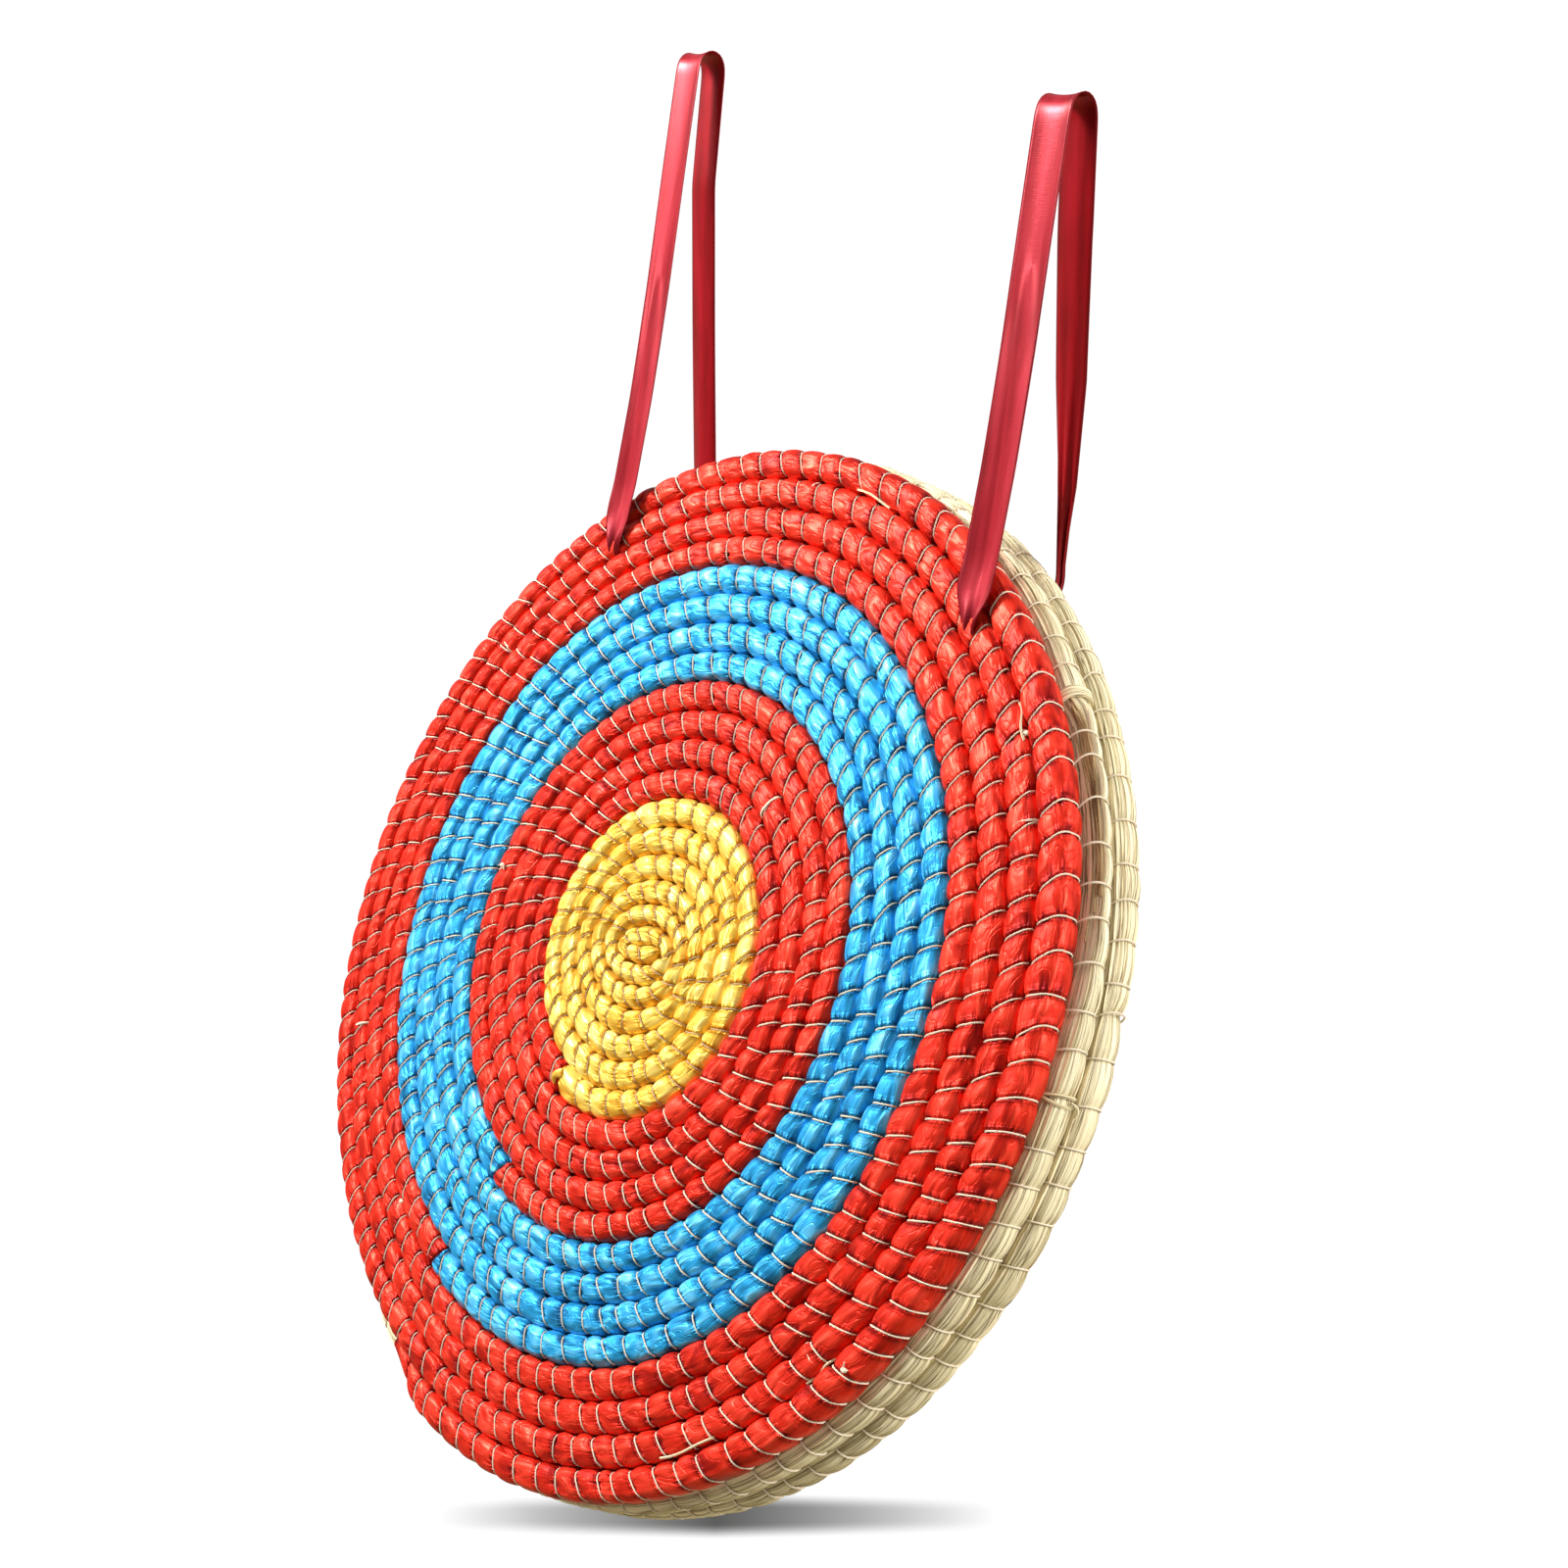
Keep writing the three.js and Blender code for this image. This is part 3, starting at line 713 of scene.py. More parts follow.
class BossColours(bpy.types.PropertyGroup):
    """Colours of the satin, the straw, the thread and the ribbons"""

    yellow: colour_property("Yellow satin", "Colour of the centre", (0.89, 0.57, 0.08))
    red: colour_property("Red satin", "Colour of both red rings", (0.68, 0.02, 0.006))
    blue: colour_property("Blue satin", "Colour of the blue ring", (0.025, 0.36, 0.72))
    straw: colour_property("Straw", "Colour of most of the straw", (0.95, 0.83, 0.55))
    thread: colour_property("Thread", "Colour of the sewing thread and the twine", (0.9, 0.8, 0.62))
    ribbon: colour_property("Ribbon", "Colour of the ribbons", (0.36, 0.009, 0.018))


def size_of(name):
    """A size that a user can change, in millimetres"""
    return getattr(bpy.context.scene.boss_sizes, name) * 1000


def colours():
    return bpy.context.scene.boss_colours


def kept(name, make, *looks):
    """The finish of that name, made the first time that it is asked for"""
    return bpy.data.materials.get(name) or make(name, *looks)


# Painted shade and painted glint colours at the two ends of each satin's colour ramp
SATIN_PAINTED_SHADES = {"yellow": (0.6, 0.25, 0.01), "red": (0.24, 0.0015, 0.001), "blue": (0.004, 0.08, 0.2)}
SATIN_PAINTED_GLINTS = {"yellow": (0.99, 0.84, 0.27), "red": (0.95, 0.07, 0.035), "blue": (0.2, 0.68, 1.0)}


def satin_of(colour):
    return kept(f"{colour}_satin", satin, getattr(colours(), colour), SATIN_PAINTED_SHADES[colour],
                SATIN_PAINTED_GLINTS[colour])


def straw_finish():
    return kept("dry_straw", straw, colours().straw)


def thread_finish():
    return kept("cream_thread", thread, colours().thread, (0.6, 0.47, 0.3))


# The ribbon's own colour, with the painted shade and painted glint colours of its ramp
def ribbon_finish():
    return kept("wine_ribbon", ribbon_satin, colours().ribbon, (0.13, 0.0015, 0.005), (0.48, 0.025, 0.045))


# The face
FACE_RINGS = (
    ("yellow_centre", "yellow", FACE_START, YELLOW_TURNS),
    ("inner_red", "red", YELLOW_TURNS, YELLOW_TURNS + RING_TURNS),
    ("blue", "blue", YELLOW_TURNS + RING_TURNS, YELLOW_TURNS + 2 * RING_TURNS),
    ("outer_red", "red", YELLOW_TURNS + 2 * RING_TURNS, FACE_TURNS),
)
COLOUR_END_SLANTS = {"yellow_centre": 7.0, "inner_red": -5.0, "blue": -4.0}
SPACING_TURNS = (-0.5, 1, 3, 6, 10, 14, 18)
SPACING_SHARES = (0.6, 0.66, 0.78, 0.84, 0.92, 0.98, 1.0)
FIRST_FACE_STITCH = FACE_START + 0.06
FACE_SLANT_SCATTER = 0.28

# Angles round the rope, in degrees, between which stitches show, and the bare end of each layer's rope
FACE_ANGLES, FACE_RIM_ANGLES = (6, 174), (-75, 174)
MIDDLE_RIM_ANGLES = (-100, 120)
BACK_ANGLES, BACK_RIM_ANGLES = (186, 354), (186, 455)
FACE_BARE_END, MIDDLE_BARE_END, BACK_BARE_END = 24, 12, 16
YELLOW_THREAD_SHARE, STRAW_THREAD_SHARE = 0.8, 1.2
STRAW_STITCH_LIFT = 0.8


def rope_of(colour):
    return YELLOW_ROPE if colour == "yellow" else SATIN_ROPE


def face_stitches():
    """Every stitch of the face with its slant, the same for the satin and for the thread"""
    rng = np.random.default_rng(11)
    slant, spacing = size_of("stitch_slant"), size_of("stitch_spacing")
    places = plan_stitches(FACE, FIRST_FACE_STITCH, lambda turn: spacing * np.interp(
        turn, SPACING_TURNS, SPACING_SHARES), slant, rng)
    return places, slant * (1 + FACE_SLANT_SCATTER * rng.standard_normal(len(places)))


def ring_bounds(ring_index):
    """The ends and stitches of a ring's rope with their slants: where colours meet, the two ends agree"""
    places, slants = face_stitches()
    ring, _, first_turn, last_turn = FACE_RINGS[ring_index]
    bounds = pillow_bounds(places, FACE.length_at(first_turn), FACE.length_at(last_turn))
    own = np.interp(bounds, places, slants)
    own[1:-1] = slants[np.searchsorted(places, bounds[1:-1])]
    own[0] = COLOUR_END_SLANTS[FACE_RINGS[ring_index - 1][0]] if ring_index else 0
    own[-1] = COLOUR_END_SLANTS.get(ring, 0)
    return bounds, own


class BOSS_OT_wind_satin(bpy.types.Operator):
    """Wind the satin-wrapped rope of the face, one length for each colour"""

    bl_idname = "target_boss.wind_satin"
    bl_label = "Wind satin rings"

    def execute(self, context):
        for index, (ring, colour, first, last) in enumerate(FACE_RINGS):
            bounds, slants = ring_bounds(index)
            tube = wind(FACE, bounds, rope_of(colour), slants, np.random.default_rng(20 + index),
                        taper_in=YELLOW_START_TAPER if first < 0 else 0,
                        taper_out=FACE_TAPER if last == FACE_TURNS else 0)
            piece = tube_piece(f"{ring}_satin", [tube], satin_of(colour))
            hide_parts(f"{ring}_coil")
        return {"FINISHED"}


class BOSS_OT_sew_face(bpy.types.Operator):
    """Sew the turns of the face together with slanted stitches"""

    bl_idname = "target_boss.sew_face"
    bl_label = "Sew the face"

    def execute(self, context):
        rim_start = FACE.length_at(FACE_TURNS - 1)
        for index, (ring, colour, *_) in enumerate(FACE_RINGS):
            bounds, slants = ring_bounds(index)
            rope, thickness, tint = rope_of(colour), size_of("thread_thickness"), thread_finish()
            # On the yellow the thread is a darker, browner copy: painted shade where it sinks into the satin,
            # and painted reflection of the yellow around it
            if colour == "yellow":
                thickness *= YELLOW_THREAD_SHARE
                tint = kept("taupe_thread", thread, (0.66, 0.5, 0.3), (0.3, 0.18, 0.07))
            places, own = bounds[1:-1], slants[1:-1]
            inner = places < rim_start
            tubes = [stitch_tubes(FACE, rope, places[inner], own[inner], FACE_ANGLES, thickness, 9)]
            if not inner.all():
                rim = ~inner & (places < bounds[-1] - FACE_BARE_END)
                tubes.append(stitch_tubes(FACE, rope, places[rim], own[rim], FACE_RIM_ANGLES, thickness, 14,
                                          taper=FACE_TAPER))
            tube_piece(f"{ring}_stitching", tubes, tint)
        return {"FINISHED"}


# The straw layers: each has its first stitched turn and the seed of its stitches
MIDDLE_SEAM = (MIDDLE, 1.0, 31)
BACK_SEAM = (BACK, 0.2, 33)
STRAW_SPACING, STRAW_SLANT, STRAW_SLANT_SCATTER = 16.0, 4.0, 0.4
MIDDLE_FIRST_TURN = MIDDLE_TURNS - 1.5
BACK_RIM_TURN = BACK_TURNS - 1.35
JOINT_TURN = MIDDLE_TURNS - (math.radians(41.6) + FULL_TURN - MIDDLE_END) / FULL_TURN
TAG_TURN = MIDDLE_TURNS - (math.radians(2.9) + FULL_TURN - MIDDLE_END) / FULL_TURN
SPLICE_TURN = BACK_TURNS - (math.radians(10.5) + FULL_TURN - BACK_END) / FULL_TURN
SPLICE_DENT = (BACK.length_at(SPLICE_TURN), 2.4, 9.0)

# Degrees past the joint over which the rope is slim and fills out again
JOINT_SLIM_SHARE = 0.2
SLIMS_OVER, FILLS_FROM, FILLS_OVER = 2, 18, 22


def straw_stitches(spiral, first_turn, seed):
    rng = np.random.default_rng(seed)
    places = plan_stitches(spiral, first_turn, lambda turn: STRAW_SPACING, STRAW_SLANT, rng)
    return places, STRAW_SLANT * (1 + STRAW_SLANT_SCATTER * rng.standard_normal(len(places)))


def wind_stretch(seam, first, last, rope, seed, **shape):
    """One stretch of a straw layer's rope, from one turn to another"""
    spiral = seam[0]
    places, slants = straw_stitches(*seam)
    bounds = pillow_bounds(places, spiral.length_at(first), spiral.length_at(last))
    return wind(spiral, bounds, rope, np.interp(bounds, places, slants), np.random.default_rng(seed), **shape)


def joint_slimness(turn):
    """Past its joint the middle layer's rope starts slim on the face's side, and soon fills out again"""
    past = (turn - JOINT_TURN) * 360
    slim = smooth(past / SLIMS_OVER) * (1 - smooth((past - FILLS_FROM) / FILLS_OVER))
    return 1 - (1 - JOINT_SLIM_SHARE) * slim


class BOSS_OT_wind_straw(bpy.types.Operator):
    """Wind the bare straw rope of the middle and back layers"""

    bl_idname = "target_boss.wind_straw"
    bl_label = "Wind straw layers"

    def execute(self, context):
        middle = [wind_stretch(MIDDLE_SEAM, MIDDLE_FIRST_TURN, MIDDLE_TURNS, STRAW_RIM_ROPE, 32,
                               taper_out=MIDDLE_TAPER, slim=joint_slimness)]
        back = [wind_stretch(BACK_SEAM, 0, BACK_RIM_TURN, STRAW_ROPE, 34,
                             taper_in=BACK_START_TAPER, dent=SPLICE_DENT),
                wind_stretch(BACK_SEAM, BACK_RIM_TURN, BACK_TURNS, STRAW_RIM_ROPE, 35,
                             taper_out=BACK_TAPER, dent=SPLICE_DENT)]
        for layer, tubes in (("middle", middle), ("back", back)):
            piece = tube_piece(f"{layer}_straw_rope", tubes, straw_finish())
            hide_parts(f"{layer}_straw_coil")
        pressed = kept("pressed_straw", straw, colours().straw, DULL_STRAW, BROWN_STRAW, True)
        for slot in bpy.data.objects["middle_straw_core"].material_slots:
            slot.material = pressed
        return {"FINISHED"}


class BOSS_OT_sew_straw(bpy.types.Operator):
    """Sew the turns of the straw layers where they can be seen: on the rims and on the back"""

    bl_idname = "target_boss.sew_straw"
    bl_label = "Sew the straw layers"

    def execute(self, context):
        thickness = size_of("thread_thickness") * STRAW_THREAD_SHARE
        places, slants = straw_stitches(*MIDDLE_SEAM)
        rim = (places > MIDDLE.length_at(MIDDLE_TURNS - 1)) & (
            places < MIDDLE.length_at(MIDDLE_TURNS) - MIDDLE_BARE_END)
        tube_piece("middle_stitching", [stitch_tubes(
            MIDDLE, STRAW_RIM_ROPE, places[rim], slants[rim], MIDDLE_RIM_ANGLES, thickness, 14,
            STRAW_STITCH_LIFT, MIDDLE_TAPER)], thread_finish())

        places, slants = straw_stitches(*BACK_SEAM)
        outer = places > BACK.length_at(BACK_TURNS - 1)
        near = places > BACK.length_at(BACK_RIM_TURN)
        rim = outer & (places < BACK.length_at(BACK_TURNS) - BACK_BARE_END)
        tubes = [stitch_tubes(BACK, rope, places[chosen], slants[chosen], BACK_ANGLES, thickness, 8)
                 for rope, chosen in ((STRAW_ROPE, ~near), (STRAW_RIM_ROPE, near & ~outer))]
        tubes.append(stitch_tubes(BACK, STRAW_RIM_ROPE, places[rim], slants[rim], BACK_RIM_ANGLES,
                                  thickness, 16, STRAW_STITCH_LIFT, BACK_TAPER))
        tube_piece("back_stitching", tubes, thread_finish())
        return {"FINISHED"}


# Knots and loose straws: distances from the middle of the face and angles round it
THREAD_KNOTS = ((238.1, 37.8), (249.0, 331.7), (199.9, 240.4), (120.0, 176.2), (143.0, 135.0))
THREAD_KNOT_SIZE = (1.7, 1.1, 1.2)
LOOSE_STRAWS = ((239.3, 305.5, 313.6), (240.0, 326.5, 331.0), (237.0, 75.0, 81.0), (236.0, 37.0, 41.5))
LOOSE_STRAW_WIDTH = 1.1
YELLOW_TAIL_RADIUS, YELLOW_TAIL_WIDTH = 74.0, 5.2
FACE_EDGE_SHARE, FACE_SINK = 0.97, 0.4

# Straw bound round the joint, and a tied straw further on: distances along the rope and slants
WRAP_PLACES, WRAP_SLANTS, WRAP_ANGLES = (-1.9, 0.0, 1.8), (2.0, 3.5, 2.5), (-100, 172)
TAG_PLACES, TAG_SLANTS, TAG_ANGLES = (0.0, 0.6), (4.0, -3.0), (-60, 150)
WRAP_WIDTH, TAG_WIDTH, TAG_TAIL_WIDTH = 2.2, 1.5, 1.2

# Limits between which the knots' cut ends and the frayed straws are drawn
KNOT_END_TURN, KNOT_END_BEND, KNOT_END_REACH = 0.6, 2.5, (2.2, 3.8)
FRAYED_COUNT = 11
FRAYED_START, FRAYED_LENGTH = (0, 12), (30, 95)
FRAYED_ANGLE, FRAYED_LIFT, FRAYED_WIDTH = (40, 105), (0.2, 1.6), (0.8, 1.3)


def face_place(radius, angle, lift):
    """A place on the face's rope, raised a little above its skin"""
    rim_turn = FACE_TURNS - ((math.radians(angle) - FACE_END) % FULL_TURN) / FULL_TURN
    turns = rim_turn - np.arange(int(rim_turn))
    radii = np.linalg.norm(FACE.middle(turns), axis=-1)
    nearest = int(np.argmin(np.abs(radii - radius)))
    across = np.clip((radius - radii[nearest]) / (FACE_PITCH / 2), -FACE_EDGE_SHARE, FACE_EDGE_SHARE)
    around = math.acos(math.copysign(abs(across) ** (SATIN_ROPE.squareness / 2), across))
    length = FACE.length_at(turns[nearest])
    return SATIN_ROPE.skin(FACE, length, np.array(around), 0.0, lift - FACE_SINK)


def thread_knots(rng):
    """Knots of the sewing thread, each with its two cut ends"""
    tubes = []
    for index, (radius, angle) in enumerate(THREAD_KNOTS):
        centre = face_place(radius, angle, 1.0)
        tubes.append(lump(centre, THREAD_KNOT_SIZE, index))
        for opposite in (math.pi, 0):
            heading = rng.uniform(-KNOT_END_TURN, KNOT_END_TURN) + opposite + math.radians(angle)
            steps = np.linspace(0, 1, 7)[:, None]
            aside = np.array([-math.sin(heading), 0, math.cos(heading)])
            bend = aside * rng.uniform(-KNOT_END_BEND, KNOT_END_BEND)
            reach = np.array([math.cos(heading), -0.25, math.sin(heading)]) * rng.uniform(*KNOT_END_REACH)
            path = centre + steps * reach + steps ** 2 * bend
            tubes.append(strand(path, size_of("thread_thickness") * 0.8))
    return tubes


def caught_straws():
    """Straws that lie on the face, caught by its thread"""
    for radius, start, end in LOOSE_STRAWS:
        radii = radius + 0.5 * np.sin(np.linspace(0, 5, 12) + radius)
        path = [face_place(*spot, 0.9) for spot in zip(radii, np.linspace(start, end, 12))]
        yield strand(np.array(path), LOOSE_STRAW_WIDTH)


def yellow_tail():
    """The end of the yellow wrapping, which curls out over the next turn"""
    end = face_place(YELLOW_TAIL_RADIUS, math.degrees(FACE_END) + 1, -0.6)
    out = np.array([math.cos(FACE_END), 0, math.sin(FACE_END)])
    along = np.array([math.sin(FACE_END), 0, -math.cos(FACE_END)])
    curl = np.linspace(0, 1, 12)[:, None]
    path = (end + out * 6.5 * curl + along * (9 * curl - 8.5 * curl ** 2)
            + np.array([0, -1.6, 0]) * np.sin(math.pi * 0.8 * curl))
    return strand(path, YELLOW_TAIL_WIDTH * (1 - 0.8 * curl[:, 0] ** 1.3), 10)


def joint_binding():
    """Straw wound round the middle layer's joint, and a tied straw further on with its loose end"""
    wraps = MIDDLE.length_at(JOINT_TURN) + np.array(WRAP_PLACES)
    tag = MIDDLE.length_at(TAG_TURN)
    curl = np.linspace(0, 1, 9)
    tail = STRAW_RIM_ROPE.skin(MIDDLE, tag + 5 * curl ** 2, math.radians(-8) - 0.5 * curl, 0.0,
                               0.8 + 2.2 * np.sin(math.pi * 0.7 * curl))
    return [
        stitch_tubes(MIDDLE, STRAW_RIM_ROPE, wraps, np.array(WRAP_SLANTS), WRAP_ANGLES, WRAP_WIDTH, 18, 0.75),
        stitch_tubes(MIDDLE, STRAW_RIM_ROPE, tag + np.array(TAG_PLACES), np.array(TAG_SLANTS), TAG_ANGLES,
                     TAG_WIDTH, 14, 0.85),
        strand(tail, TAG_TAIL_WIDTH),
    ]


def frayed_straws(rng):
    """Straw ends that come loose past the joint"""
    for index in range(FRAYED_COUNT):
        start = MIDDLE.length_at(JOINT_TURN) + rng.uniform(*FRAYED_START)
        lengths = start + np.linspace(0, rng.uniform(*FRAYED_LENGTH), 12)
        around = math.radians(rng.uniform(*FRAYED_ANGLE)) + 0.15 * np.sin(np.linspace(0, 3, 12) + index)
        lift = 0.4 + rng.uniform(*FRAYED_LIFT) * np.linspace(0, 1, 12) ** 2
        slim = joint_slimness(MIDDLE.turn_at(lengths))
        path = STRAW_RIM_ROPE.skin(MIDDLE, lengths, around, 0.0, lift, 1.0, slim)
        yield strand(path, rng.uniform(*FRAYED_WIDTH))


class BOSS_OT_leave_loose_ends(bpy.types.Operator):
    """Add the thread's knots, the straws caught in it and the binding of the middle layer's joint"""

    bl_idname = "target_boss.leave_loose_ends"
    bl_label = "Leave loose ends"

    def execute(self, context):
        rng = np.random.default_rng(5)
        # The frayed straws get a much darker copy of the straw: painted shade of the recess past the joint
        shaded_frayed = kept("frayed_straw", straw, (0.6, 0.43, 0.2), (0.4, 0.26, 0.1), (0.18, 0.1, 0.04))
        tube_piece("yellow_satin_tail", [yellow_tail()], satin_of("yellow"))
        tube_piece("thread_knots", thread_knots(rng), thread_finish())
        tube_piece("caught_straws", caught_straws(), straw_finish())
        tube_piece("joint_binding", joint_binding(), straw_finish())
        tube_piece("frayed_straws", frayed_straws(rng), shaded_frayed)
        return {"FINISHED"}


# Ties between the layers: for each row their number, the first one's angle and the turns left outside them
TIE_ROWS = ((6, FULL_TURN / 24, 1), (3, FULL_TURN * 3 / 24, 10))
TIE_KNOT_SIZE = (2.3, 1.5, 1.9)
TIE_POINTS = 64

# A tie's depths on its way to the back, and how it rises out of the straw there
TIE_SHALLOW, TIE_DEEP, TIE_END = 6, 17, 17.5
TIE_PRESS, TIE_SUNK, TIE_CORNER = 0.4, 3, 0.8
TIE_CORNER_RISE, TIE_MIDDLE_RISE, TIE_KNOT_RISE = [0, 3, 0], [0, 3.4, 0], [0, 4.1, 0]


def tie_spots():
    """Angle of each tie and the number of turns between it and the rim"""
    return [(FACE_END + first + index * FULL_TURN / count, turns_in)
            for count, first, turns_in in TIE_ROWS for index in range(count)]


def rounded(path, count):
    """A smoother line through the same places, with evenly spaced points"""
    for _ in range(2):
        quarter = 0.75 * path[:-1] + 0.25 * path[1:]
        three = 0.25 * path[:-1] + 0.75 * path[1:]
        path = np.concatenate([path[:1], np.stack([quarter, three], axis=1).reshape(-1, 3), path[-1:]])
    return respaced(path, count)


def at_depth(place, back):
    return np.array([place[0], back, place[2]])


class BOSS_OT_tie_layers(bpy.types.Operator):
    """Tie the three layers together with loops of twine"""

    bl_idname = "target_boss.tie_layers"
    bl_label = "Tie the layers"

    def execute(self, context):
        thickness = size_of("twine_thickness")
        sunk = BACK_PLACE + ROPE_HALF_DEPTH + thickness * TIE_PRESS - TIE_SUNK
        for index, (angle, turns_in) in enumerate(tie_spots()):
            turn = FACE_TURNS - ((angle - FACE_END) % FULL_TURN) / FULL_TURN - turns_in
            around = np.radians(np.linspace(2, 178, 12))
            front = SATIN_ROPE.skin(FACE, FACE.length_at(turn), around, 0.0, -0.5)
            outer, inner = front[0], front[-1]
            outward = np.array([math.cos(angle), 0, math.sin(angle)])
            low, high = at_depth(inner, sunk), at_depth(outer, sunk)
            middle, corner = (low + high) / 2, outward * TIE_CORNER
            path = rounded(np.array([
                at_depth(inner, TIE_DEEP), at_depth(inner, TIE_SHALLOW), *front[::-1],
                at_depth(outer, TIE_SHALLOW), at_depth(outer, TIE_DEEP), high,
                high + TIE_CORNER_RISE - corner, middle + TIE_MIDDLE_RISE, low + TIE_CORNER_RISE + corner,
                low, at_depth(inner, TIE_END),
            ]), TIE_POINTS)
            normals = path - path.mean(axis=0) + outward * 1e-3
            tubes = [cord_tube(path[None], normals[None], thickness / 2, 6),
                     lump(middle + TIE_KNOT_RISE, TIE_KNOT_SIZE, index)]
            piece = tube_piece(f"layer_tie_{index + 1}_twine", tubes, thread_finish())
            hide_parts(f"layer_tie_{index + 1}")
        return {"FINISHED"}


# Ribbons: each fold's middle is so far back and up, and each front end so far to the right of its fold
RIBBONS = (
    {"side": "left", "x": -STRAP_X, "fold": (7.5, 15.0), "split": -137.1, "seed": 3, "foot_shift": 6.5,
     "waist": 5.0, "back_places": (0, 26, 40, 60), "back_shares": (0.2, 0.5, 0.92, 0.97), "back_shift": -1},
    {"side": "right", "x": STRAP_X, "fold": (-7.5, -15.0), "split": -134.0, "seed": 8, "foot_shift": 3.5,
     "waist": 1.0, "back_places": (0, 40, 56, 76, 120, 185), "back_shares": (0.2, 0.2, 0.34, 0.6, 0.9, 1),
     "back_shift": -4},
)
FOLD_SIZE = 7.5
SAG_SPOTS = (0.12, 0.3, 0.55, 0.8)
SAG_DEPTHS = (3.2, 3.8, 3.0, 1.2)
RIBBON_STEP = 2.5
RIBBON_COLUMNS = 16
RIBBON_UV_WIDTH = 0.2

# Places that a ribbon passes, as back and up: up is from its hole at the front, from the middle at the back
HOLE, MOUTH, FOOT = (-3.5, -0.5), (-8.4, 2.5), (-9.6, 7)
BACK_RIM, BACK_KNOT = (43.5, 220.5), (43.8, 188)
WAIST_SHARE = 0.25
KNOT_STANDOFF = 5.0

# How a ribbon is gathered at its ends, cupped, ridged and pleated: lengths are from its front or back end
GATHER_FROM, GATHER_OVER, GATHER_NARROWS, BACK_GATHER = 4, 20, 0.6, 1.2
CUP, FRONT_CUP, BACK_CUP, CUP_LEVEL = 1.1, 2.4, 2.0, 0.4
FRONT_CUP_LENGTH, BACK_CUP_LENGTH, CUP_STARTS_OVER = 120, 150, 30
RIDGE_PLACE, RIDGE_SWAY, RIDGE_WAVE = -0.25, 0.25, 70
RIDGE_WIDTH, RIDGE_HEIGHT, RIDGE_MIDDLE, RIDGE_REACH = 0.16, 0.8, 70, 110
PLEAT_COUNTS, PLEAT_DEPTHS = (0.9, 1.3), (1.3, 1.8)
PLEAT_SHIFT, PLEAT_FADE = 0.6, 1.2
# Painted shade: shares from which the ribbon's edges and gathered ends are darkened
EDGE_SHADE, GATHER_SHADE = 0.7, 0.3


def ribbon_line(ribbon):
    """The ribbon's middle line, in places of the frame: hole, front leg, fold, back leg, back hole"""
    back, height = ribbon["fold"]
    x, foot_x = ribbon["x"], ribbon["x"] + ribbon["foot_shift"]
    hole, mouth, foot = (leaned([foot_x, depth, HOLE_HEIGHT + rise]) for depth, rise in (HOLE, MOUTH, FOOT))
    angles = np.linspace(math.pi, 0, 9)
    arch = np.stack([np.full(9, x), back + FOLD_SIZE * np.cos(angles), height + FOLD_SIZE * np.sin(angles)],
                    axis=-1)
    leg = [foot + (arch[0] - foot) * spot + [0, depth, 0] for spot, depth in zip(SAG_SPOTS, SAG_DEPTHS)]
    rim, knot = leaned([x, *BACK_RIM]), leaned([x, *BACK_KNOT])
    waist = arch[-1] + (rim - arch[-1]) * WAIST_SHARE - [0, ribbon["waist"], 0]
    path = np.array([hole, mouth, foot, *leg, *arch, waist, rim, knot])
    line = respaced(path, int(distances(path)[-1] / RIBBON_STEP))
    for _ in range(3):
        line[1:-1] = (line[:-2] + 2 * line[1:-1] + line[2:]) / 4
    return line


def ribbon_strip(ribbon, width):
    """A grid of points over one ribbon, gathered to a point at each hole"""
    rng = np.random.default_rng(ribbon["seed"])
    line = ribbon_line(ribbon)
    along = distances(line)
    side = np.array([1.0, 0, 0])
    outer = np.cross(unit(np.gradient(line, axis=0)), side)
    from_front, from_back = along[:, None], along[-1] - along[:, None]
    front_gather = 1 - smooth((from_front - GATHER_FROM) / GATHER_OVER)
    back_share = np.interp(from_back, ribbon["back_places"], ribbon["back_shares"])
    gather = np.maximum(front_gather, BACK_GATHER * (1 - back_share))
    breadth = width * (1 - GATHER_NARROWS * front_gather) * back_share
    across = np.linspace(-1, 1, RIBBON_COLUMNS + 1)[None, :]
    cup = (CUP + FRONT_CUP * smooth(1 - from_front / FRONT_CUP_LENGTH)
           + BACK_CUP * smooth(1 - from_back / BACK_CUP_LENGTH))
    cup = cup * np.clip(np.minimum(from_front, from_back) / CUP_STARTS_OVER, 0, 1)
    ridge_at = RIDGE_PLACE + RIDGE_SWAY * np.sin(from_front / RIDGE_WAVE + ribbon["seed"])
    ridge = RIDGE_HEIGHT * np.exp(-((across - ridge_at) / RIDGE_WIDTH) ** 2)
    ridge = ridge * smooth(1 - np.abs(from_front - RIDGE_MIDDLE) / RIDGE_REACH)
    at_front = from_front < from_back
    phase = PLEAT_SHIFT * rng.standard_normal()
    pleats = np.cos(across * FULL_TURN * np.where(at_front, *PLEAT_COUNTS) + phase)
    pleats = pleats * gather ** PLEAT_FADE * np.where(at_front, *PLEAT_DEPTHS)
    lift = cup * (CUP_LEVEL - across ** 2) + ridge + pleats
    aside = across * breadth / 2 + (1 - back_share) * ribbon["back_shift"]
    points = line[:, None, :] + side * aside[..., None] + outer[:, None, :] * lift[..., None]
    # Painted shade: marks the edges and the gathered ends for darkening
    shaded = np.maximum(np.abs(across), EDGE_SHADE + GATHER_SHADE * gather)
    return points, along, shaded


